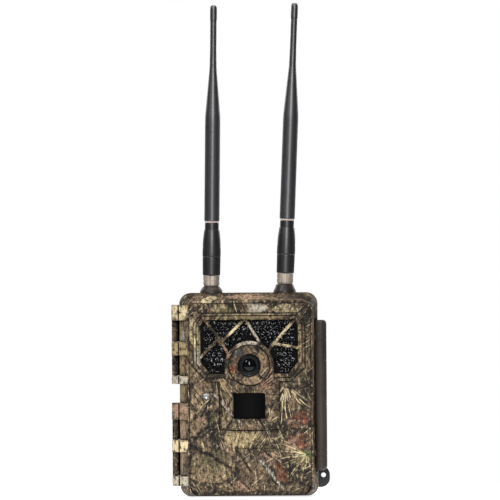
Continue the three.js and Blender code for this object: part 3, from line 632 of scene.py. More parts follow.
class Film:
    """A camouflage print, built up layer by layer over two surface coordinates in millimetres."""

    def __init__(self, u, v, seed):
        self.seed, self.layer = seed, 0
        sway = noise(vector(u * 0.03, v * 0.03, seed), 1.0, 2.0) - 0.5
        swing = noise(vector(v * 0.03, u * 0.03, seed + 7.0), 1.0, 2.0) - 0.5
        self.u, self.v = u + sway * 6.0, v + swing * 6.0
        self.flat_u, self.flat_v = u, v
        bark = self.noise_at(0.14, 0.045, 1.0, 7.0, 0.68, 0.8)
        stops = [(0.34, SOIL), (0.44, BARK), (0.52, LOAM), (0.61, TAN), (0.75, CREAM)]
        self.colour = ramp(bark, stops)
        self.over(self.noise_at(0.05, 0.04, 9.0).step(0.52, 0.62) * 0.35, OLIVE)
        self.over(self.noise_at(0.06, 0.05, 13.0).step(0.62, 0.70) * 0.4, RUST)

    def over(self, share, colour):
        self.colour = mix(share, self.colour, colour)

    def noise_at(self, su, sv, seed, detail=3.0, roughness=0.6, distortion=0.0):
        where = vector(self.u * su, self.v * sv, self.seed + seed)
        return noise(where, 1.0, detail, roughness, distortion)

    def lay(self, stamp, u, v, colours, **numbers):
        tints = dict(zip("ABC", colours))
        self.colour = stamp.lay(Under=self.colour, U=u, V=v, **tints, **numbers)

    def next_seed(self):
        self.layer += 1
        return self.seed * 3.1 + self.layer * 17.3

    def strokes(self, angle, length, pitch, width, colours, share=1.0):
        self.lay(STROKES, self.u, self.v, colours, Angle=math.radians(angle), Length=length, Pitch=pitch,
                 Width=width, Share=share, Seed=self.next_seed())

    def leaves(self, angle, spread, length, width, cell, colours, share=0.5):
        self.lay(LEAVES, self.u, self.v, colours, Angle=math.radians(angle), Spread=math.radians(spread),
                 Length=length, Width=width, Cell=cell, Share=share, Seed=self.next_seed())

    def leaf(self, x0, z0, x1, z1, width, colours):
        """One leaf from its stem to its tip."""
        self.lay(LEAF, self.flat_u, self.flat_v, colours, X=(x0 + x1) / 2, Z=(z0 + z1) / 2,
                 Angle=math.atan2(z1 - z0, x1 - x0), Length=math.hypot(x1 - x0, z1 - z0) / 2, Width=width)

    def branch(self, x0, z0, x1, z1, root, tip, colour=BARK, dark=SOIL):
        self.lay(BRANCH, self.flat_u, self.flat_v, [colour, dark], X=x0, Z=z0,
                 Angle=math.atan2(z1 - z0, x1 - x0), Length=math.hypot(x1 - x0, z1 - z0), Root=root, Tip=tip)

    def burst(self, x, z, inner, outer, needles, width, colours, arc):
        """Needles that fan out from a point over an arc given in degrees."""
        self.lay(BURST, self.flat_u, self.flat_v, colours, X=x, Z=z, Inner=inner, Outer=outer,
                 Needles=needles, Width=width, Angle=math.radians(sum(arc) / 2),
                 Arc=math.radians(abs(arc[1] - arc[0]) / 2), Seed=x * 1.7 + z)

    def patch(self, x, z, width, height, colour, share=0.85):
        self.lay(PATCH, self.flat_u, self.flat_v, [colour], X=x, Z=z, Width=width, Height=height, Share=share)


def litter(film):
    """The forest floor that covers the whole housing: twigs, grass, needles and dry leaves."""
    film.strokes(80, 30, 6.5, 1.7, [SOIL, BARK, LOAM], 0.6)
    film.leaves(20, 150, 10, 4.8, 23, [TAN, PINK_TAN, LOAM], 0.42)
    film.strokes(-62, 22, 4.0, 0.8, [BARK, TAN, SOIL], 0.6)
    film.strokes(38, 16, 3.4, 0.6, [CREAM, SOIL, TAN], 0.45)
    film.over(film.noise_at(0.06, 0.05, 21.0, 5.0).step(0.51, 0.60) * 0.8, SOIL)
    film.strokes(-28, 24, 9.0, 1.8, [SOIL, BARK, SOIL], 0.4)
    film.strokes(104, 13, 2.6, 0.5, [CREAM, TAN, SOIL], 0.42)
    film.strokes(8, 12, 3.4, 0.45, [TAN, SOIL, BARK], 0.4)


def needles(film):
    """What crosses the seam between the plate and the bezel."""
    film.patch(20, 66, 7, 12, SOIL, 0.6)
    film.burst(24.5, 78, 5, 31, 50, 0.55, [CREAM, CREAM, SOIL], (-112, -38))
    film.burst(26, 80, 5, 32, 62, 0.45, [CREAM, TAN, SOIL], (-134, -66))
    film.branch(-26, 72, -6, 50, 2.2, 1.8, LICHEN, BARK)


def plate_scenery(film):
    """What lies where on the plate, with painted shade along its bottom edge."""
    film.leaf(-43, 12, -12, 31, 13.5, [TAN, OLIVE, TAN])
    film.leaf(-41, 41, -31, 57, 6.5, [TAN, TAN, PINK_TAN])
    film.patch(-27, 55, 6, 4, OLIVE, 0.6)
    film.branch(-43, 37, -13, 20, 2.8, 1.6, SOIL, SOIL)
    film.branch(-30, 60, -24, 31, 3.4, 1.6, SOIL, SOIL)
    film.branch(-29, 49, -43, 38, 2.6, 1.4, SOIL, SOIL)
    film.patch(-6, 40, 16, 7, STRAW, 0.75)
    film.burst(-5, 0, 33.5, 48, 190, 0.5, [CREAM, STRAW, SOIL], (66, 116))
    film.patch(-3, 27, 15, 6, BARK, 0.65)
    # Painted shade: a dark band along the bottom edge, where the chin faces down.
    film.patch(-2, -3, 60, 6, SOIL, 0.9)
    film.branch(-7, 26, 10, 38, 0.8, 0.4, CREAM, SOIL)
    film.branch(7, 26, 23, 3.5, 3.6, 2.6, LICHEN, SOIL)
    film.patch(28, 52, 17, 11, SOIL, 0.65)
    film.leaf(25, 48, 41, 59, 6.4, [RUST, BARK, PINK_TAN])
    film.leaf(24, 34, 40, 43, 6.5, [BARK, RUST, PINK_TAN])
    film.leaf(16, 25, 27, 7, 4.5, [RUST, BARK, RUST])
    film.patch(33, 16, 9, 12, SOIL, 0.8)
    film.patch(38, 28, 4.5, 5, MOSS, 0.85)
    film.burst(39, 29, 1, 22, 90, 0.4, [CREAM, MOSS, STRAW], (140, 290))
    film.leaf(-46, 129, -32, 98, 4.6, [CREAM, STRAW, CREAM])
    film.leaf(-28, 129.5, -12, 131, 4.4, [CREAM, STRAW, OLIVE])
    film.leaf(15, 129, 35, 130.5, 4.4, [STRAW, CREAM, OLIVE])
    film.patch(5, 129, 8, 7, LICHEN, 0.95)
    film.patch(39, 128, 6, 8, SOIL, 0.95)


def bezel_scenery(film):
    """What lies where on the bezel, with a painted highlight along its top edge."""
    film.burst(2, 73, 6, 27, 150, 0.6, [RUST, PINK_TAN, SOIL], (14, 56))
    film.burst(-23, 86, 3, 30, 130, 0.5, [PINK_TAN, SOIL, STRAW], (-86, -40))
    film.leaf(-46, 129, -32, 98, 4.6, [CREAM, STRAW, CREAM])
    film.patch(-37, 96, 5, 7, LICHEN, 0.6)
    film.leaf(-37, 88, -31, 82, 2.6, [STRAW, CREAM, OLIVE])
    film.patch(-5, 107, 12, 3, LICHEN, 0.8)
    film.patch(8, 106, 5, 5, SOIL, 0.6)
    film.patch(29, 85, 10, 4, SOIL, 0.8)
    film.patch(-28, 84, 12, 5, SOIL, 0.85)
    # Painted highlight: a pale band along the bezel's top edge, above the window.
    film.patch(0, 125, 30, 3, STRAW, 0.5)
    film.patch(-12, 115, 9, 6, CREAM, 0.9)
    film.patch(2, 113, 7, 10, LICHEN, 0.9)
    film.patch(24, 112, 12, 11, CREAM, 0.7)
    film.patch(-17, 101, 4, 6, PINK_TAN, 0.8)


def shell_scenery(film):
    """What lies where on the shoulder round the plate, with painted shade along the bottom, a painted dark
    reflection along the top edge and painted highlights down the sides.
    """
    film.leaf(-32, 147, -28, 133, 5.6, [CREAM, CREAM, CREAM])
    film.patch(-3, 144, 17, 6, PINK_TAN, 0.85)
    film.patch(30, 144, 16, 8, BARK, 0.55)
    film.patch(42, 140, 6, 6, SOIL, 0.9)
    # Painted shade: a dark band along the bottom edge, where the body faces down.
    film.patch(-2, -4, 64, 8, SOIL, 0.9)
    # Painted highlights: pale patches down the left side beside the hinges.
    film.patch(-57, 75, 9, 80, STRAW, 0.8)
    film.patch(-56, 112, 9, 8, LICHEN, 0.9)
    film.patch(-56, 44, 9, 9, PINK_TAN, 0.9)
    # Painted reflection: a dark band along the rounded top edge.
    film.patch(-2, 159, 64, 8, SOIL, 0.85)
    # Painted highlight: a pale streak down the right shoulder.
    film.patch(46, 100, 2.5, 40, PINK_TAN, 0.6)


def hinge_scenery(film):
    """Painted highlights: a pale patch on each of the front half's hinge knuckles."""
    for z, colour in ((128, CREAM), (103, STRAW), (81, LICHEN), (60, PINK_TAN), (36, CREAM), (11, LICHEN)):
        film.patch(-50, z, 14, 7, colour, 0.85)


def rear_scenery(film):
    """What lies where on the back, which runs from 163 to 257 across and from 90 to 231 up."""
    film.leaf(178, 108, 204, 130, 9.0, [TAN, STRAW, TAN])
    film.leaf(238, 188, 214, 206, 7.0, [RUST, BARK, TAN])
    film.leaf(232, 112, 250, 100, 6.0, [TAN, PINK_TAN, RUST])
    film.patch(190, 162, 15, 12, SOIL, 0.6)
    film.patch(234, 150, 12, 9, BARK, 0.6)
    film.branch(166, 216, 252, 178, 2.8, 1.4, BARK, SOIL)
    film.branch(244, 92, 198, 146, 3.2, 1.6, BARK, SOIL)
    film.branch(186, 92, 172, 170, 2.4, 1.0, LICHEN, SOIL)
    film.burst(226, 172, 2, 30, 72, 0.6, [CREAM, STRAW, SOIL], (-150, -60))
    film.burst(186, 222, 2, 28, 72, 0.6, [CREAM, TAN, SOIL], (-120, -30))
    film.burst(206, 96, 2, 34, 84, 0.6, [CREAM, OLIVE, SOIL], (50, 130))


def wrap(x, z, depth):
    """Coordinates across and up a face that go on growing with the depth down its sides."""
    mid_z = BODY_TOP / 2
    u = x + (x - BODY_MID) * (1 / HALF_WIDTH) * depth
    return u, z + (z - mid_z) * (1 / mid_z) * depth


def front_place(tree):
    """Surface coordinates that run from the front face round onto the sides."""
    x, y, z = parts(object_mm(tree))
    return wrap(x, z, (y - PLATE_FACE).max(0.0))


def rear_place(tree):
    """Surface coordinates that run from the back face round onto the sides."""
    x, y, z = parts(object_mm(tree))
    u, v = wrap(x, z, (33.0 - y).max(0.0))
    return u * -1.0 + 210.0, v + 90.0


def hinge_place(tree):
    x, y, z = parts(object_mm(tree))
    return x - (y + 30.0) * 0.4, z


def ring_place(tree):
    x, y, z = parts(object_mm(tree))
    dx, dz = x - LENS_X, z - LENS_Z
    deep = (y - RING.y0) * 0.4
    return dx + dx * deep / RING_R, dz + dz * deep / RING_R


def film_finish(shader, film, roughness):
    """A photographic grain over the print, painted shade in the corners, creases and gaps, and a light orange
    peel.
    """
    coarse = noise(vector(film.u * 1.0, film.v * 0.7), 0.45, 5.0, 0.72)
    fine = noise(vector(film.u, film.v), 1.3, 3.0, 0.7)
    film.over(coarse.step(0.55, 0.71) * 0.6, CREAM)
    film.over(fine.step(0.56, 0.74) * 0.25, CREAM)
    film.over(coarse.step(0.52, 0.38) * 0.92, SOIL)
    film.over(fine.step(0.5, 0.3) * 0.7, SOIL)
    # Painted shade: ambient occlusion darkens the print in corners, creases and gaps between parts.
    corners = add(shader.id_data, "AmbientOcclusion", {"Distance": 2.6 * MM}, samples=8)
    film.over(Wire(corners, "AO").step(0.96, 0.45) * 0.92, srgb(10, 9, 8))
    dress(shader, film.colour, fine * 0.18 + (roughness - 0.09))
    bump(shader, noise(object_mm(shader.id_data), 3.0, 3.0, 0.7), 0.03)


def ring_scenery(film):
    """What lies where on the lens ring, about its own middle."""
    film.patch(-4, 6, 9, 5, LOAM, 0.8)
    film.patch(-6, 9, 4, 5, SOIL, 0.8)
    film.patch(9, 3, 5, 8, TAN, 0.7)
    film.patch(2, -10.5, 9, 4, TAN, 0.8)
    film.patch(-8, 9, 4.5, 3.5, srgb(66, 66, 74), 0.9)
    film.patch(-12, -2.5, 3.2, 3.6, RUST, 0.95)


def camo(name, seed, specular, *sceneries, place_on=front_place, roughness=0.5):
    """A camouflage print: every piece gets the same litter, and its own scenery on top. The pieces of
    the front half share a seed, so that the litter runs on from one to the next."""
    m, tree, shader = new_material(name, roughness, 0.0, specular)
    film = Film(*place_on(tree), seed)
    for scenery in (litter, *sceneries):
        scenery(film)
    film_finish(shader, film, roughness)
    return m


# ---------- the other materials ----------
def nickel_plate():
    m, tree, shader = new_material("nickel_plate", 0.5, 0.6)
    x, y, z = parts(object_mm(tree))
    streaks = noise(vector(x * 1.1, y * 1.1, z * 0.06), 0.6, 3.0)
    tone = ramp(streaks, [(0.35, srgb(152, 140, 128)), (0.65, srgb(208, 195, 182))])
    dress(shader, tone, streaks * 0.2 + 0.42)
    return m


def smoked_cover():
    """Infrared-pass acrylic that lets a little light through."""
    m, tree, shader = new_material("smoked_cover", 0.06, 0.0, 0.05)
    haze = noise(object_mm(tree), 0.2, 3.0)
    dress(shader, fade(haze, srgb(1, 1, 1), srgb(4, 4, 5)), haze * 0.06 + 0.03)
    feed(shader.inputs["Alpha"], haze * 0.06 + 0.12)
    m.surface_render_method = "BLENDED"
    return m


def lamp_epoxy():
    """The clear epoxy of the infrared lamps, black with painted glints: small bright specks in its colour."""
    m, tree, shader = new_material("lamp_epoxy", 0.15, 0.0, 0.3)
    haze = noise(object_mm(tree), 0.95, 2.0)
    # Painted glints: rare bright specks stand in for the lights' reflections in the domes.
    tone = ramp(haze, [(0.595, srgb(1, 1, 1)), (0.63, srgb(246, 248, 255))])
    dress(shader, tone, haze * 0.1 + 0.1)
    return m


def coated_glass():
    """The front lens element: dark, with the blue-green reflection of its coating painted into its colour,
    stronger towards its rim.
    """
    m, tree, shader = new_material("coated_glass", 0.06, 0.0, 0.22)
    painted_reflection_facing = Wire(add(tree, "LayerWeight", {"Blend": 0.35}), "Facing")
    # Painted reflection: the coating colour follows how far each point faces away from the view.
    stops = [(0.0, srgb(5, 6, 9)), (0.45, srgb(8, 16, 20)), (0.8, srgb(30, 50, 52))]
    tone = ramp(painted_reflection_facing, stops)
    dust = noise(object_mm(tree), 1.4, 4.0)
    dress(shader, tone, dust.step(0.62, 0.75) * 0.08 + 0.02)
    return m


def clear_dome():
    m, tree, shader = new_material("clear_dome", 0.05, 0.0, 0.5, Transmission_Weight=0.8, IOR=1.49)
    haze = noise(object_mm(tree), 0.9, 2.0)
    tone = fade(haze, srgb(225, 225, 228), srgb(252, 252, 252))
    dress(shader, tone, haze * 0.06 + 0.02)
    return m


def circuit_board(name, mask, copper, specular=0.4):
    m, tree, shader = new_material(name, 0.4, 0.0, specular)
    x, _, z = parts(object_mm(tree))
    kind = {"distance": "MANHATTAN", "feature": "DISTANCE_TO_EDGE"}
    web = add(tree, "TexVoronoi", {"Scale": 0.22, "Vector": vector(x, z)}, **kind)
    tracks = Wire(web, "Distance").step(0.09, 0.05)
    blotch = noise(vector(x, z), 0.08, 3.0)
    base = fade(blotch, tuple(c * 0.8 for c in mask), mask)
    dress(shader, mix(tracks, base, copper), blotch * 0.15 + 0.3)
    bump(shader, tracks, 0.03)
    return m


def cell_jacket():
    """A plain printed foil jacket in two tones."""
    m, tree, shader = new_material("cell_jacket", 0.3, 0.7)
    x, y, z = parts(object_mm(tree))
    row = (z - 20.6).math("MODULO", 56.3)
    scuff = noise(vector(x, y, z * 0.3), 0.7, 4.0)
    dark = fade(scuff, srgb(42, 42, 48), srgb(66, 66, 74))
    copper = fade(scuff, srgb(168, 112, 60), srgb(196, 140, 84))
    dress(shader, mix(row.step(37.4, 37.8), dark, copper), scuff * 0.2 + 0.2)
    return m


def display_glass():
    m, tree, shader = new_material("display_glass", 0.06, 0.0, 0.5, Coat_Weight=0.6)
    x, _, z = parts(object_mm(tree))
    rim = (x + 7.0).abs().step(18.6, 19.0).max((z - 115.0).abs().step(12.2, 12.6))
    glow = noise(vector(x, z), 0.05, 2.0)
    pane = fade(glow, srgb(20, 24, 30), srgb(34, 40, 48))
    dress(shader, mix(rim, pane, srgb(6, 6, 7)), glow * 0.05 + 0.04)
    return m


def make_materials():
    return {
        "front": camo("camo_front", 3.0, 0.14, shell_scenery),
        "plate": camo("camo_plate", 3.0, 0.14, plate_scenery, needles),
        "bezel": camo("camo_bezel", 3.0, 0.14, needles, bezel_scenery),
        "hinge": camo("camo_hinge", 3.0, 0.14, hinge_scenery, place_on=hinge_place),
        "rear": camo("camo_rear", 17.0, 0.18, rear_scenery, place_on=rear_place),
        "ring": camo("camo_ring", 29.0, 0.12, ring_scenery, place_on=ring_place, roughness=0.46),
        "boss": moulded("boss_film", srgb(52, 44, 38), 0.42, 0.5, 0.03, specular=0.35, grain_scale=2.0),
        "inner": moulded("black_moulding", srgb(30, 30, 31), 0.5, 0.2, 0.03),
        "black": moulded("satin_black", srgb(7, 7, 8), 0.3, 0.2, 0.01, specular=0.18),
        "gloss": moulded("gloss_black", srgb(14, 14, 15), 0.16, 0.3, 0.004),
        "latch": moulded("latch_brown", srgb(51, 44, 39), 0.46, 0.3, 0.03, specular=0.25,
                         stretch=(1, 1, 0.25)),
        "whip": moulded("antenna_satin", srgb(29, 29, 34), 0.42, 0.12, 0.004, specular=1.0,
                        Coat_Weight=0.8, Coat_Roughness=0.37),
        "foot": moulded("antenna_gloss", srgb(15, 15, 19), 0.4, 0.12, 0.004, specular=0.7,
                        Coat_Weight=0.5, Coat_Roughness=0.36),
        "nickel": nickel_plate(),
        "steel": moulded("bare_steel", srgb(170, 170, 172), 0.3, 0.15, 0.01, metallic=1.0),
        "brass": moulded("turned_brass", srgb(196, 160, 92), 0.3, 0.2, 0.01, metallic=1.0, stretch=(1, 1, 4)),
        "pale": moulded("pale_ring", srgb(214, 188, 184), 0.5, 0.08, 0.01),
        "cover": smoked_cover(),
        "lamp": lamp_epoxy(),
        "glass": coated_glass(),
        "clear": clear_dome(),
        "pir": moulded("pir_plastic", srgb(3, 3, 4), 0.42, 0.3, 0.006, specular=0.05, stretch=(2, 1, 0.05)),
        "pcb": circuit_board("green_board", srgb(16, 62, 38), srgb(34, 96, 56)),
        "led_pcb": circuit_board("black_board", srgb(4, 4, 4), srgb(10, 10, 11), 0.1),
        "rubber": moulded("soft_rubber", srgb(28, 28, 28), 0.72, 0.2, 0.04, specular=0.3),
        "cell": cell_jacket(),
        "screen": display_glass(),
        "keys": moulded("key_rubber", srgb(46, 46, 49), 0.66, 0.15, 0.04, specular=0.3),
        "card": moulded("card_plastic", srgb(34, 44, 74), 0.42, 0.2, 0.02),
    }


materials = make_materials()


# ---------- outlines shared by several pieces ----------
def front_section(y):
    """The front half's outline at a depth: full size behind its shoulder, and smaller towards the face."""
    if y > SHOULDER_BACK:
        t = 0
    elif y > SHOULDER_BEND:
        at_bend = (SHOULDER_START - SHOULDER_BEND) / SHOULDER_RUN
        t = at_bend * ((SHOULDER_BACK - y) / (SHOULDER_BACK - SHOULDER_BEND)) ** 2
    else:
        t = (SHOULDER_START - y) / SHOULDER_RUN
    return round_rect(*shoulder_box(t), CORNER_R - t, 12)


def shoulder_box(t):
    """The front half's left, right, bottom and top at a share t of the way up its shoulder."""
    return BODY_LEFT + 5.5 * t, BODY_RIGHT - 3.8 * t, 0.4 + t, BODY_TOP - 5.5 * t


def plate_outline(extra):
    r = [8 + extra, 8 + extra, 2.5 + extra, 2.5 + extra]
    return round_rect(PLATE.x0 - extra, PLATE.x1 + extra, PLATE.z0 - extra, PLATE.z1 + extra, r, 10)


def mirrored(right):
    """A closed outline from its right half, listed upwards."""
    return [(x + BEZEL_X, z) for x, z in right] + [(BEZEL_X - x, z) for x, z in reversed(right)]


BEZEL_SHAPE = mirrored(
    [(10, 46.3), (20.55, 47.2), (20.55, 80), (28.3, 80), (38.25, 89.6), (38.25, 119.7), (32.25, 126.7)]
)
WINDOW_SHAPE = mirrored([(26.95, 85.2), (33.75, 93.2), (33.75, 118.7), (30.75, 122.4)])
PAD_SHAPE = [(26.5, 11.6), (26.5, 24.5), (18.2, 34), (-18.2, 34), (-26.5, 24.5), (-26.5, 11.6)]
LATTICE = [
    [(-33.6, 125), (-21.1, 109.1), (-15, 98)],
    [(-35, 96.2), (-23, 108.6), (-20.6, 106.6), (-3.3, 123.5)],
    [(-3.6, 123.5), (5.5, 108), (11, 101.5)],
    [(32, 124), (16.5, 106.5), (12, 100.5)],
    [(15.8, 106.1), (34.5, 102.5)],
]


def collar(r, y0, y1):
    """The round collar round the lens, with straight sides down to the column."""
    steps = 48
    arc = [
        (LENS_X + r * math.cos(math.pi * i / steps), LENS_Z + r * math.sin(math.pi * i / steps))
        for i in range(steps + 1)
    ]
    return prism_y("collar", [(LENS_X + r, 70), *arc, (LENS_X - r, 70)], y0, y1)


def window_opening(extra, y0, y1):
    opening = prism_y("opening", grow(WINDOW_SHAPE, extra), y0, y1)
    return cut(opening, collar(COLLAR_R - extra, y0 - 1, y1 + 1))


def common(obj, tool):
    return combine(obj, [tool], "INTERSECT")


def paint(obj, material, test):
    """A second material on the faces whose centre, in millimetres, passes the test."""
    obj.data.materials.append(materials[material])
    index = len(obj.data.materials) - 1
    for face in obj.data.polygons:
        if test(*(face.center / MM)):
            face.material_index = index


# ---------- the front half ----------
def in_front_cavity(x, y, z):
    """Is a face centre of the front shell on its inside?"""
    t = min(max((SHOULDER_START - y) / SHOULDER_RUN, 0), 1)
    left, right, bottom, top = shoulder_box(t)
    r = CORNER_R - t
    past_x = max(left + r - x, x - (right - r), 0)
    past_z = max(bottom + r - z, z - (top - r), 0)
    behind = WALL_BACK - 0.4 < y < FRONT_RIM - 0.6
    beside_latch = x > 40 and y < -21
    return behind and math.hypot(past_x, past_z) < r - 1.6 and not beside_latch


def front_shell():
    depths = [COVER_FACE, -29, SHOULDER_BEND, -24, -23, -22, -21, -20, SHOULDER_BACK, FRONT_RIM]
    outer = [(y, front_section(y)) for y in depths]
    shell = loft_y("front_shell", outer, "front")
    inside = round_rect(BODY_LEFT + 2.8, BODY_RIGHT - 2.8, 3.2, 138.2, 5)
    face = round_rect(-40.6, 39.6, 6.5, 131.5, 4)
    cavity = loft_y("cavity", [(WALL_BACK, face), (-20, inside), (FRONT_RIM + 1, inside)])
    groove_block = common(box("groove_block", 40.2, 47, -34, -20.5, 11, 129), loft_y("outer", outer))
    groove = rod("groove", "Z", LATCH_AT, LATCH_R + 0.45, LATCH.z0 - 1, LATCH.z1 + 1, 64)
    profile = [(WALL_FACE, 136), (WALL_FACE, 11.75), (-26.8, -1), (-40, -1), (-40, 136)]
    pocket = prism_x("pocket", profile, -60, 60)
    common(pocket, prism_y("plate", plate_outline(0.5), AHEAD, BEHIND))
    lens_hole = rod("lens_hole", "Y", LENS_AT, 7.7, AHEAD, BEHIND)
    pir_hole = box("pir_hole", -9, 8, AHEAD, BEHIND, 56, 70)
    bores = [rod("bore", "Z", (a["x"], ANTENNA_Y, 0), 3.6, 136, 150, 32) for a in ANTENNAS.values()]
    cut(shell, cavity)
    join(shell, groove_block)
    cut(shell, groove, pocket, window_opening(1.0, AHEAD, BEHIND), lens_hole, pir_hole, *bores)
    soften(shell, 0.45, 3, 24, 34)
    paint(shell, "inner", in_front_cavity)
    place(shell, *FRONT_HOUSING)


def screw_posts():
    for i in range(4):
        screw = Span(f"panel_screw_{i + 1}")
        at, top = (screw.cx, 0, screw.cz), screw.y1
        post = rod(f"screw_post_{i + 1}", "Y", at, 3.2, -29.8, top - 3.3, 32, "inner")
        cut(post, rod("bore", "Y", at, 1.75, top - 12, top, 24))
        place(soften(post, 0.2, 2), *FRONT_HOUSING)


FRONT_ARM = [
    (HINGE_X - HINGE_R, HINGE_Y), (HINGE_X - HINGE_R, -24), (-54.1, -25.6), (-52.2, -28.6), (-51.4, -29.3),
    (-50.2, -29.95), (-49.95, -28.9), (-49.35, -28.9), (-49.1, -30.55), (-44.0, -33.3), (-42.6, -33.3),
    (-42.6, -31.6), (-47.4, -22), (-47.4, FRONT_RIM), (-49.35, FRONT_RIM),
    (HINGE_X + HINGE_R - 0.05, HINGE_Y),
]
REAR_ARM = [
    (HINGE_X - HINGE_R, HINGE_Y), (HINGE_X - HINGE_R, HINGE_Y + 1.5), (HINGE_X - 0.8, 3.6), (-48.4, 5.6),
    (-48.4, -0.9), (HINGE_X, HINGE_Y),
]


def hinge_knuckle(name, arm, z0, z1, bore, material, where):
    knuckle = rod(name, "Z", HINGE_AT, HINGE_R, z0, z1, 40, material)
    join(knuckle, prism_z("arm", arm, z0, z1))
    cut(knuckle, rod("bore", "Z", HINGE_AT, HINGE_BORE, *bore, 24))
    place(soften(knuckle, 0.35, 3, 28, 34), *where)


def hinges():
    """In each hinge the front half has knuckles 1, 3 and 5, and the rear half 2 and 4."""
    for h, edges in enumerate(HINGES):
        bore = (edges[5] - 1, edges[0] - 2)
        for k in (0, 2, 4, 1, 3):
            z0, z1 = edges[k + 1] + HINGE_GAP, edges[k] - HINGE_GAP
            tag = f"{h + 1}_{k + 1}"
            if k % 2:
                hinge_knuckle(f"rear_knuckle_{tag}", REAR_ARM, z0, z1, bore, "rear", REAR_HOUSING)
            else:
                hinge_knuckle(f"hinge_arm_{tag}", FRONT_ARM, z0, z1, bore, "hinge", FRONT_HOUSING)


def lock_tab(name, y0, y1, where):
    outline = round_rect(44.5, HOUSING.x1, 5.8, 20.5, [0.5, 6.0, 6.0, 0.5], 16)
    tab = prism_y(name, outline, y0, y1, "gloss")
    cut(tab, rod("eye", "Y", (EYE_X, 0, EYE_Z), 1.7, -10, 10))
    place(soften(tab, 0.7, 4), *where)


def latch_lugs():
    for i, (z0, z1) in enumerate(LATCH_LUGS):
        lug = rod(f"latch_lug_{i + 1}", "Z", LATCH_AT, LATCH_R, z0, z1, 64, "latch")
        join(lug, box("arm", 42.5, LATCH_X, -29, -22.8, z0, z1))
        cut(lug, rod("bore", "Z", LATCH_AT, LATCH_BORE, 20, 120, 24))
        place(soften(lug, 0.25, 2), *FRONT_HOUSING)


def antenna_bosses():
    for side, a in ANTENNAS.items():
        top = a["base"] + 4.5
        profile = [
            (3.6, BODY_TOP - 1.5), (7.8, BODY_TOP - 1.5), (7.75, BODY_TOP + 0.6), (7.6, BODY_TOP + 1.6),
            (6.9, BODY_TOP + 2.9), (6.1, top - 0.8), (5.9, top - 0.25), (5.5, top), (3.6, top),
        ]
        at = (a["x"], ANTENNA_Y, 0)
        turned_piece(f"antenna_boss_{side}", profile, "Z", at, 72, "boss", 30, *FRONT_HOUSING)


def face_plate():
    profile = [
        (PLATE_FACE, 134), (PLATE_FACE, 11.4), (-29.2, 0), (-27.3, 0), (PLATE_BACK, 11.9), (PLATE_BACK, 134),
    ]
    plate = prism_x("face_panel", profile, -60, 60, "plate")
    common(plate, prism_y("outline", plate_outline(0), AHEAD, BEHIND))
    join(plate, loft_y("pad", [(PLATE_FACE - 1.0, grow(PAD_SHAPE, -0.8)), (PLATE_FACE + 0.5, PAD_SHAPE)]))
    visor = box("visor", -39.2, 37.5, AHEAD, PLATE_FACE + 0.7, 126.9, 136)
    hole = rod("hole", "Y", DOME_AT, 2.3, AHEAD, BEHIND)
    moat = prism_y("moat", grow(BEZEL_SHAPE, 0.6), AHEAD, PLATE_FACE + 0.9)
    cut(plate, visor, moat, prism_y("opening", grow(BEZEL_SHAPE, -2.0), AHEAD, BEHIND), hole)
    soften(plate, 0.45, 3, 24, 34)
    place(plate, "front", "camo_plastic", "face_plate")


def lattice_bar(start, end):
    a, b = Vector(start), Vector(end)
    along = (b - a).normalized()
    across = Vector((-along.y, along.x))
    a, b = a - along * 0.5, b + along * 0.5
    slope = [a - across * 0.62, b - across * 0.62, b + across * 0.62, a + across * 0.62]
    corners = [a - across, b - across, b + across, a + across]
    return loft_y("bar", [(-35.1, slope), (-34.7, corners), (-33.5, corners)])


def lattice():
    """The bars across the infrared window, joined and kept to the window."""
    bars = [lattice_bar(*pair) for chain in LATTICE for pair in zip(chain, chain[1:])]
    return common(join(bars.pop(), *bars), prism_y("reach", grow(WINDOW_SHAPE, 1.5), -40, -30))


def bezel():
    edge = [(BEZEL_FACE, grow(BEZEL_SHAPE, -1.3)), (BEZEL_FACE + 0.9, BEZEL_SHAPE)]
    edge.append((PLATE_FACE + 0.7, BEZEL_SHAPE))
    rim = loft_y("bezel_frame", edge, "bezel")
    line = cut(
        prism_y("line", grow(WINDOW_SHAPE, 3.15), BEZEL_FACE - 0.5, BEZEL_FACE + 0.9),
        prism_y("within", grow(WINDOW_SHAPE, 2.45), BEZEL_FACE - 1, BEZEL_FACE + 2),
        collar(COLLAR_R, AHEAD, BEHIND),
    )
    through = (-30, WINDOW_SHAPE)
    slope = [(BEZEL_FACE - 0.2, grow(WINDOW_SHAPE, 1.7)), (BEZEL_FACE + 1.5, WINDOW_SHAPE), through]
    step = cut(loft_y("step", slope), collar(COLLAR_R, AHEAD, BEHIND))
    join(rim, prism_y("back", grow(BEZEL_SHAPE, -2.3), PLATE_FACE - 0.2, PLATE_BACK))
    cut(rim, line)
    cut(rim, step)
    cut(rim, window_opening(1.3, COVER_FACE - 0.1, -30))
    join(rim, lattice())
    wide = round_rect(-13.6, 11.6, 52.4, 73.5, 1.2, 6)
    hole = round_rect(-12.1, 10.1, 54.0, 71.9, 1.2, 6)
    funnel = loft_y("pir_hole", [(BEZEL_FACE - 0.5, wide), (BEZEL_FACE + 1.2, hole), (-30, hole)])
    seat = rod("seat", "Y", LENS_AT, RING_R + 0.6, AHEAD, BEHIND, 96)
    cut(rim, seat, funnel, box("pir_pocket", -12.7, 11.9, COVER_FACE - 0.1, -30, 52.7, 73.2))
    soften(rim, 0.22, 3, 24, 34)
    place(rim, "front", "camo_plastic", "front_bezel")


def infrared_window():
    cover = window_opening(0.9, COVER_FACE, PLATE_BACK)
    cover.name = "infrared_cover"
    cover.data.materials.append(materials["cover"])
    place(soften(cover, 0.1, 2), "front", "smoked_acrylic", "led_cover")


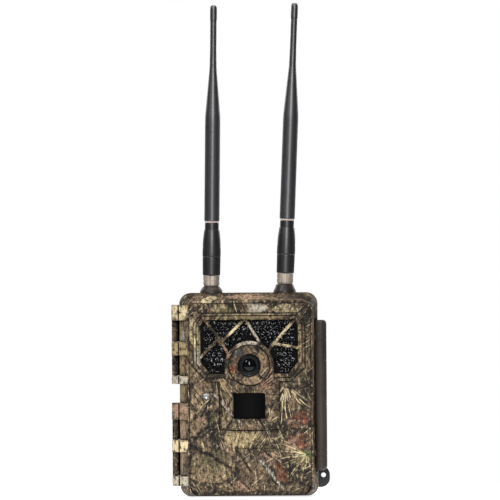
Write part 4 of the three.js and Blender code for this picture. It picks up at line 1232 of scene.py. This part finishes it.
def in_window(x, z, margin):
    """Is a point inside the window's outline, the margin in from every side?"""
    outline = grow(WINDOW_SHAPE, -margin)
    hit = False
    for i, (x0, z0) in enumerate(outline):
        x1, z1 = outline[i - 1]
        if (z0 > z) != (z1 > z) and x < (x1 - x0) * (z - z0) / (z1 - z0) + x0:
            hit = not hit
    return hit


def lamp_places():
    """The middle of every lamp: staggered rows that keep clear of the lens collar."""
    clear = COLLAR_R + 2.2
    for row in range(10):
        for column in range(-9, 10):
            x = BEZEL_X + (column + row % 2 / 2) * LAMP_PITCH
            z = LAMP_LOWEST + row * LAMP_PITCH * 0.97
            away = math.hypot(x - LENS_X, z - LENS_Z)
            beside = abs(x - LENS_X) > clear or z > LENS_Z
            if away > clear and beside and in_window(x, z, 1.9):
                yield x, z


def lamps():
    board = prism_y("lamp_board", grow(WINDOW_SHAPE, 0.6), -29.5, -28.0, "led_pcb")
    cut(board, rod("hole", "Y", LENS_AT, 9.5, AHEAD, BEHIND))
    where = ("front", "led_pcb", "led_board")
    place(soften(board, 0.1, 2), *where)
    profile = [
        (0, -31.6), (0.55, -31.5), (1.05, -31.15), (1.35, -30.6), (1.42, -30.1), (1.62, -30.1), (1.62, -29.5),
        (0, -29.5),
    ]
    sides = 16
    turns = [(math.cos(math.tau * i / sides), math.sin(math.tau * i / sides)) for i in range(sides)]
    verts, faces = [], []
    for x, z in lamp_places():
        start = len(verts)
        for r, y in profile:
            verts += [(x + r * c, y, z + r * s) for c, s in turns]
        for k in range(len(profile) - 1):
            faces += band(start + k * sides, start + (k + 1) * sides, sides)
    domes = without_slivers(make("infrared_lamps", verts, faces, "lamp"))
    place(shade(domes, 50), *where)


def lens():
    ring = [
        (7.75, PLATE_BACK), (RING_R, PLATE_BACK), (RING_R, -36.2), (RING_R - 0.25, -36.75),
        (RING_R - 0.8, -37.3), (RING_R - 1.5, -37.65), (11.9, -37.9), (11.2, RING.y0), (9.7, RING.y0),
        (9.1, -37.9), (8.5, -37.6), (8.0, -37.0), (7.75, -36.3),
    ]
    where = ("front", "camo_plastic", "lens_ring")
    turned_piece("lens_bezel_ring", ring, "Y", LENS_AT, 128, "ring", 32, *where)
    barrel = [
        (4.2, -28.4), (7.4, -28.4), (7.4, -36.5), (7.3, -36.85), (7.0, -37.0), (6.6, -36.95), (6.4, -36.7),
        (6.25, -36.2), (5.95, -36.2), (5.85, -35.8), (5.55, -35.8), (5.45, -35.4), (5.1, -35.3),
        (5.0, -33.6), (4.2, -33.6),
    ]
    where = ("front", "black_plastic", "lens_barrel")
    turned_piece("lens_tube", barrel, "Y", LENS_AT, 96, "black", 28, *where)
    front = [
        (0, -36.2), (0.8, -36.17), (1.6, -36.05), (2.4, -35.87), (3.1, -35.6), (3.8, -35.25), (4.4, -34.85),
        (4.7, -34.6), (4.7, -33.7), (0, -33.7),
    ]
    where = ("front", "lens_glass", "lens_glass")
    turned_piece("front_element", front, "Y", LENS_AT, 64, "glass", 40, *where)


def motion_window():
    """The motion sensor's curved window, moulded in shallow upright strips."""
    flange = box("motion_window", -12.4, 11.6, COVER_FACE, -32.5, 53.0, 72.9, "pir")
    strips = 56
    arc = []
    for i in range(strips + 1):
        u = i / strips * 2 - 1
        rib = 0.06 if i % 4 == 0 else 0
        arc.append((-1.0 + 10.3 * u, -33.9 - 1.2 * (1 - u * u) + rib))
    arc += [(9.3, -33.0), (-11.3, -33.0)]
    join(flange, prism_z("arc", arc, 54.8, 71.1))
    place(soften(flange, 0.15, 2, 40, 30), "front", "pir_plastic", "pir_lens")


def indicator():
    where = ("front", "clear_plastic", "indicator_lens")
    profile = [
        (0, -35.4), (0.5, -35.35), (0.95, -35.18), (1.35, -34.9), (1.7, -34.5), (1.92, -34.0), (2.0, -33.6),
        (2.0, -32.5), (0, -32.5),
    ]
    turned_piece("indicator_dome", profile, "Y", DOME_AT, 48, "clear", 40, *where)
    cup = [(0, -32.45), (1.1, -32.45), (1.9, -32.6), (2.2, -33.4), (2.28, -33.4), (2.28, -32.35), (0, -32.35)]
    turned_piece("indicator_reflector", cup, "Y", DOME_AT, 32, "steel", 40, *where)


# ---------- the latch ----------
def latch():
    z0, z1 = LATCH.z0, LATCH.z1
    profile = [
        (0, z0), (1.2, z0), (LATCH_R - 2.0, z0 + 0.15), (LATCH_R - 1.2, z0 + 0.65), (LATCH_R - 0.6, z0 + 1.3),
        (LATCH_R - 0.2, z0 + 2.2), (LATCH_R, z0 + 3.4),
    ]
    for seam in LATCH_SEAMS:
        profile += [(LATCH_R, seam - 0.35), (LATCH_R - 0.22, seam - 0.1)]
        profile += [(LATCH_R - 0.22, seam + 0.1), (LATCH_R, seam + 0.35)]
    profile += [
        (LATCH_R, z1 - 2.6), (LATCH_R - 0.25, z1 - 1.4), (LATCH_R - 0.8, z1 - 0.6),
        (LATCH_R - 1.6, z1 - 0.15), (LATCH_R - 2.4, z1), (0, z1),
    ]
    lever = lathe("side_latch", profile, "Z", LATCH_AT, 96, "latch")
    plate = [(-0.25, 1.8), (2.45, 1.8), (2.45, 31.2), (2.8, 32.6), (3.95, 35.6), (-0.25, 35.6)]
    arm = [(LATCH_X + x, LATCH_Y + y) for x, y in plate]
    join(lever, prism_z("arm", arm, z0 + 3, z1 - 3))
    notches = [rod("notch", "Z", LATCH_AT, LATCH_R + 0.4, a - 0.15, b + 0.15, 64) for a, b in LATCH_LUGS]
    bore = rod("bore", "Z", LATCH_AT, LATCH_BORE, z0 + 3, z1 - 3, 32)
    grip_x = LATCH_X + 2.25
    grips = [box("grip", grip_x, LATCH_X + 4, y, y + 0.7, 56, 84) for y in (-2.5, -0.5, 1.5, 3.5)]
    cut(lever, *notches, bore, *grips)
    soften(lever, 0.3, 3, 30, 34)
    place(lever, "latch", "latch_plastic", "latch_lever")


# ---------- the antennas, drawn upright from the foot and then leant ----------
def stand(obj, a, *where):
    """A piece drawn upright from its antenna's foot, leant and put in its place."""
    turn = Matrix.Rotation(math.radians(a["lean"]), 4, "Y")
    shift = Matrix.Translation(Vector((a["x"], ANTENNA_Y, a["base"])) * MM)
    obj.data.transform(shift @ turn)
    return place(obj, *where)


def antenna_socket(side, a):
    lift = a["base"] - BODY_TOP
    profile = [(0, -4.5 - lift), (4.8, -4.5 - lift), (4.8, -3.3 - lift), (3.0, -3.3 - lift), (3.0, 4.4)]
    for i in range(6):
        profile += [(3.0, 4.6 + i * 0.6), (2.7, 4.9 + i * 0.6)]
    profile += [(2.9, 8.2), (0, 8.2)]
    washer = [(3.1, 4.45), (5.0, 4.45), (5.1, 4.5), (5.1, 4.68), (5.0, 4.72), (3.1, 4.72)]
    where = ("front", "nickel", f"antenna_socket_{side}")
    stand(shade(lathe(f"threaded_socket_{side}", profile, "Z", ORIGIN, 40, "brass"), 30), a, *where)
    stand(shade(lathe(f"antenna_seal_{side}", washer, "Z", ORIGIN, 48, "rubber"), 30), a, *where)


def antenna_nut(side, a):
    teeth = 26
    knurl = []
    for i in range(teeth * 2):
        angle = math.tau * i / (teeth * 2)
        r = 5.42 if i % 2 else 5.6
        knurl.append((r * math.cos(angle), r * math.sin(angle)))
    nut = prism_z(f"knurled_nut_{side}", knurl, 5.7, 11.9, "nickel")
    rims = [(3.4, 4.75), (4.9, 4.75), (5.2, 5.0), (5.2, 11.8), (4.9, 12), (3.4, 12)]
    waist = [(5.35, 8.2), (6.5, 8.2), (6.5, 8.8), (5.35, 8.8)]
    join(nut, lathe("rims", rims, "Z"))
    cut(nut, rod("bore", "Z", ORIGIN, 3.35, 4, 13, 40), lathe("waist", waist, "Z", ORIGIN, 48))
    soften(nut, 0.1, 2, 35, 30)
    stand(nut, a, f"nut_{side}", "nickel", f"antenna_nut_{side}")


def antenna_foot(side, a):
    profile = [
        (0, 8.7), (2.7, 8.7), (2.7, 12.1), (5.3, 12.1), (5.7, 12.2), (5.95, 12.45), (6.05, 13.0), (6.08, 16),
        (6.2, 23.9), (6.2, 24.75), (6.1, 24.95), (5.9, 25), (0, 25),
    ]
    foot = lathe(f"antenna_foot_{side}", profile, "Z", ORIGIN, 72, "foot")
    tongue = box("tongue", -2.2, 2.2, -4.2, 4.2, 24, TILT_Z)
    join(foot, tongue, rod("eye", "X", TILT_AT, 4.2, -2.2, 2.2, 48))
    cut(foot, rod("bore", "X", TILT_AT, 1.3, -8, 8, 24))
    soften(foot, 0.15, 2, 35, 34)
    stand(foot, a, f"swivel_{side}", "antenna_plastic", f"antenna_base_{side}")
    ends = [(0, -5.3), (0.85, -5.3), (1.0, -5.15), (1.0, 5.15), (0.85, 5.3), (0, 5.3)]
    pin = shade(lathe(f"knuckle_pin_{side}", ends, "X", TILT_AT, 32, "steel"))
    stand(pin, a, f"swivel_{side}", "steel", f"antenna_pin_{side}")


def antenna_whip(side, a):
    profile = [
        (0, 25.02), (5.95, 25.02), (6.2, 25.14), (6.28, 25.4), (6.3, 26.1), (6.3, 29), (6.22, 33), (6.0, 37),
        (5.7, 40), (5.45, 42.2), (5.3, 43.5), (5.15, 43.75), (4.8, 43.8), (4.8, 48.35), (4.7, 48.6),
        (3.4, 48.6), (3.4, 49.8), (5.0, 49.8), (5.18, 49.9), (5.25, 50.1), (5.25, 118), (5.2, 121.5),
        (5.05, 124.5), (4.75, 128), (4.2, 135), (3.6, 142), (3.0, 149), (2.6, 154), (2.4, 157), (2.3, 162),
        (2.2, 170), (2.2, 188.4), (2.28, 188.8), (2.4, 189.1), (2.4, 196.9), (2.32, 197.9), (2.05, 198.6),
        (1.5, 199.1), (0.8, 199.3), (0, 199.34),
    ]
    whip = lathe(f"whip_{side}", profile, "Z", ORIGIN, 72, "whip")
    slot = box("slot", -2.5, 2.5, -4.5, 8, 24, TILT_Z + 4.5)
    heel = cut(box("heel", -8, 8, 0, 9, 24, TILT_Z), rod("round", "X", TILT_AT, 6.6, -9, 9, 48))
    cut(whip, slot, heel, rod("bore", "X", TILT_AT, 1.3, -8, 8, 24))
    soften(whip, 0.12, 2, 40, 32)
    paint(whip, "foot", lambda x, y, z: z < 49)
    stand(whip, a, f"whip_{side}", "antenna_plastic", f"antenna_whip_{side}")
    ring = [
        (3.6, 48.75), (3.65, 48.7), (4.65, 48.7), (4.75, 48.8), (4.75, 49.6), (4.65, 49.7), (3.65, 49.7),
        (3.6, 49.65),
    ]
    pale = shade(lathe(f"pale_band_{side}", ring, "Z", ORIGIN, 64, "pale"), 60)
    stand(pale, a, f"whip_{side}", "ring_plastic", f"antenna_ring_{side}")


# ---------- the rear half ----------
def rear_outline(inset, r):
    return round_rect(BODY_LEFT + inset, BODY_RIGHT - inset, inset, BODY_TOP - inset, r, 12)


def rear_loft(name, sections, material=None):
    """A loft between outlines of the rear half, each given as a depth, an inset and a corner radius."""
    return loft_y(name, [(y, rear_outline(inset, r)) for y, inset, r in sections], material)


def rear_shell():
    outer = [(REAR_RIM, 0, 8), (23.5, 0, 8), (25, 0.35, 7.9), (26.5, 1.5, 7.4), (31.0, 6, 5)]
    inner = [(REAR_RIM - 1, 4.2, 5), (22, 4.2, 5), (27.4, 6.8, 4)]
    shell = rear_loft("rear_shell", outer, "rear")
    cut(shell, rear_loft("cavity", inner))
    groove = cut(
        prism_y("groove", rear_outline(1.3, 6.7), REAR_RIM - 1, 0.6),
        prism_y("island", rear_outline(3.3, 5.2), REAR_RIM - 2, 2),
    )
    join(shell, rod("boss", "Z", TRIPOD_AT, 7, 3, 13), box("rib", 46, 47.9, 4, 6, 30, 110))
    plug = Span("dc_port_plug")
    tripod = rod("tripod", "Z", TRIPOD_AT, 4.9, -1, 9.5)
    cut(shell, groove, tripod, rod("port", "X", (0, plug.cy, plug.cz), 3.4, 40, 50, 40))
    soften(shell, 0.5, 3, 24, 34)
    paint(shell, "inner", in_rear_cavity)
    place(shell, *REAR_HOUSING)


def in_rear_cavity(x, y, z):
    """Is a face centre of the rear shell on its inside?"""
    beside = BODY_LEFT + 3.6 < x < BODY_RIGHT - 3.6
    return REAR_RIM + 0.3 < y < 28 and beside and 3.6 < z < BODY_TOP - 3.6


def tree_rails():
    z0, z1 = RAIL_Z
    for side, dx in (("left", -30), ("right", 30)):
        x = BODY_MID + dx
        rail = box(f"tree_rail_{side}", x - 4, x + 4, 29, 38, z0, z1, "rear")
        teeth = [
            prism_x("tooth", [(35, z), (38.5, z - 3.2), (38.5, z + 3.2)], x - 6, x + 6)
            for z in range(z0 + 6, z1 - 4, 9)
            if not 51 < z < 90
        ]
        ramps = [
            prism_x("ramp", [(32, z), (39, z), (39, z + up * 8)], x - 6, x + 6)
            for z, up in ((z0 - 0.01, 1), (z1 + 0.01, -1))
        ]
        cut(rail, *teeth, *ramps, box("strap", x - 6, x + 6, 31, 36, *STRAP_Z))
        place(soften(rail, 0.5, 3, 28, 34), *REAR_HOUSING)
    for i, z in enumerate((24, 113)):
        bridge = box(f"rail_bridge_{i + 1}", BODY_MID - 27, BODY_MID + 27, 30, 33, z, z + 5, "rear")
        place(soften(bridge, 0.7, 4), *REAR_HOUSING)


# ---------- the insides ----------
def cells():
    for i in range(8):
        span = Span(f"aa_cell_{i + 1}")
        r = (span.x1 - span.x0) / 2
        profile = [
            (0, 0), (r - 0.8, 0), (r - 0.2, 0.2), (r, 0.7), (r, 48.5), (r - 0.2, 49.0), (r - 0.8, 49.2),
            (5.2, 49.2), (4.9, 49.0), (3.1, 49.0), (2.7, 49.25), (2.7, 50.2), (2.4, 50.5), (0, 50.5),
        ]
        at = (span.cx, span.cy, span.z0)
        where = ("rear", "cell_jacket", f"aa_cell_{i + 1}")
        turned_piece(f"battery_cell_{i + 1}", profile, "Z", at, 48, "cell", 32, *where)


def keys():
    for name in ("menu", "up", "left", "ok", "right", "down"):
        span = Span(f"button_{name}")
        top = span.y1
        r = 3.0 if name == "ok" else 2.8
        profile = [
            (0, top - 4.8), (3.9, top - 4.8), (3.9, top - 3.5), (r, top - 3.5), (r, top - 0.5),
            (r - 0.12, top - 0.2), (r - 0.5, top - 0.02), (r - 1.0, top), (0, top - 0.12),
        ]
        where = (f"key_{name}", "button_rubber", f"button_{name}")
        turned_piece(f"key_{name}", profile, "Y", (span.cx, 0, span.cz), 40, "keys", 40, *where)


def pins():
    for node, body in (("hinge_pin_upper", "rear"), ("hinge_pin_lower", "rear"), ("latch_pin", "front")):
        span = Span(node)
        r = (span.x1 - span.x0) / 2
        z0, z1 = span.z0, span.z1
        ends = [(0, z0), (r - 0.15, z0), (r, z0 + 0.15), (r, z1 - 0.15), (r - 0.15, z1), (0, z1)]
        at = (span.cx, span.cy, 0)
        turned_piece(f"{node}_turned", ends, "Z", at, 32, "steel", 38, body, "steel", node)


def tripod_thread():
    z0, z1 = TRIPOD.z0, TRIPOD.z1
    profile = [(4.6, z0), (4.6, z1), (3.3, z1)]
    turns = 7
    pitch = (z1 - z0 - 0.6) / turns
    for i in range(turns):
        z = z1 - 0.3 - i * pitch
        profile += [(3.4, z), (3.1, z - pitch / 2)]
    profile += [(3.4, z0 + 0.2), (3.6, z0)]
    where = ("rear", "brass", "tripod_insert")
    turned_piece("tripod_thread", profile, "Z", TRIPOD_AT, 48, "brass", 30, *where)


def finish_node(name, material, bevel=0.3):
    """A CAD node that keeps its shape, with softened edges and its own material."""
    obj = nodes[name]
    obj.data.materials.clear()
    obj.data.materials.append(materials[material])
    if bevel:
        edge = obj.modifiers.new("edge", "BEVEL")
        edge.width = bevel * MM
        edge.segments = 2
        edge.limit_method = "ANGLE"
        edge.angle_limit = math.radians(35)
        edge.harden_normals = True


def finish_nodes():
    plain = {
        "gasket": ("rubber", 0.15),
        "battery_tray": ("inner", 0.2),
        "contact_strip_bottom": ("steel", 0.1),
        "contact_strip_top": ("steel", 0.1),
        "dc_port_plug": ("rubber", 0.3),
        "image_sensor": ("black", 0.1),
        "ir_cut_filter": ("glass", 0.1),
        "pir_sensor": ("steel", 0.15),
        "main_board": ("pcb", 0.1),
        "control_panel": ("inner", 0.2),
        "lcd_screen": ("screen", 0.1),
        "mode_switch": ("keys", 0.25),
        "sd_card": ("card", 0.15),
        "sim_card": ("card", 0.1),
    }
    for name, (material, bevel) in plain.items():
        finish_node(name, material, bevel)
    for i in range(4):
        finish_node(f"panel_screw_{i + 1}", "steel", 0.12)


# ---------- stage, lights and camera ----------
def stage():
    bpy.ops.mesh.primitive_circle_add(vertices=96, radius=0.35, fill_type="NGON", location=(0, 0, -0.0004))
    floor = bpy.context.object
    floor.name = "floor"
    m, tree, shader = new_material("pale_floor", 0.9, 0.0, 0.1)
    tone = noise(object_mm(tree), 0.002, 2.0)
    feed(shader.inputs["Base Color"], fade(tone, (0.90,) * 3, (0.94,) * 3))
    shader.inputs["Emission Color"].default_value = (1, 1, 1, 1)
    shader.inputs["Emission Strength"].default_value = 0.8
    floor.data.materials.append(m)


LIGHTS_AIM = Vector((0, 0, 0.09))


def softbox(name, where, size, power):
    data = bpy.data.lights.new(name, "AREA")
    data.shape = "RECTANGLE"
    data.size, data.size_y = size
    data.energy = power
    light = bpy.data.objects.new(name, data)
    bpy.context.scene.collection.objects.link(light)
    light.location = where
    light.rotation_euler = (LIGHTS_AIM - Vector(where)).to_track_quat("-Z", "Y").to_euler()


def studio():
    softbox("key", (-0.9, -1.0, 1.3), (0.5, 0.5), 12)
    softbox("front_strip", (0.03, -1.7, 0.68), (0.24, 0.88), 16)
    softbox("top", (0.1, -0.1, 1.5), (0.8, 0.8), 15)
    softbox("back_left", (-1.2, 1.4, 0.9), (0.8, 1.0), 9)
    softbox("back_right", (1.2, 1.3, 0.8), (0.8, 1.0), 8)
    world = bpy.data.worlds.new("studio")
    world.use_nodes = True
    tree = world.node_tree
    tree.nodes.clear()
    white = {"Color": (1, 1, 1, 1)}
    seen = add(tree, "Background", {**white, "Strength": 1.0})
    lighting = add(tree, "Background", {**white, "Strength": 0.09})
    camera_ray = Wire(add(tree, "LightPath", {}), "Is Camera Ray")
    blend = add(tree, "MixShader", {0: camera_ray, 1: Wire(lighting), 2: Wire(seen)})
    add(tree, "OutputWorld", {"Surface": Wire(blend)})
    bpy.context.scene.world = world


PHOTO_WIDTH = 500
PIXELS_PER_MM = 1.444
SENSOR = 36
CAMERA_AWAY = 6000
VIEW_PLANE = -15
CAMERA_X, CAMERA_Z = 0.2, 170.6
CAMERA_ROLL = -0.4


def camera():
    """Level, square to the front, far off with a long lens, and rolled a little."""
    data = bpy.data.cameras.new("camera")
    data.sensor_width = SENSOR
    data.lens = SENSOR * PIXELS_PER_MM * CAMERA_AWAY / PHOTO_WIDTH
    data.clip_end = 100
    eye = bpy.data.objects.new("camera", data)
    bpy.context.scene.collection.objects.link(eye)
    eye.location = (CAMERA_X * MM, (VIEW_PLANE - CAMERA_AWAY) * MM, CAMERA_Z * MM)
    level = Matrix.Rotation(math.radians(90), 4, "X")
    eye.rotation_euler = (level @ Matrix.Rotation(math.radians(CAMERA_ROLL), 4, "Z")).to_euler()
    bpy.context.scene.camera = eye


def build():
    camera()
    studio()
    stage()
    front_shell()
    screw_posts()
    hinges()
    lock_tab("lock_eye_front", -6, FRONT_RIM, FRONT_HOUSING)
    lock_tab("lock_eye_rear", REAR_RIM, 3, REAR_HOUSING)
    latch_lugs()
    antenna_bosses()
    face_plate()
    bezel()
    infrared_window()
    lamps()
    lens()
    motion_window()
    indicator()
    latch()
    for side, a in ANTENNAS.items():
        antenna_socket(side, a)
        antenna_nut(side, a)
        antenna_foot(side, a)
        antenna_whip(side, a)
    rear_shell()
    tree_rails()
    cells()
    keys()
    pins()
    tripod_thread()
    finish_nodes()


build()
bpy.context.scene.view_settings.view_transform = "Standard"

bpy.context.view_layer.update()
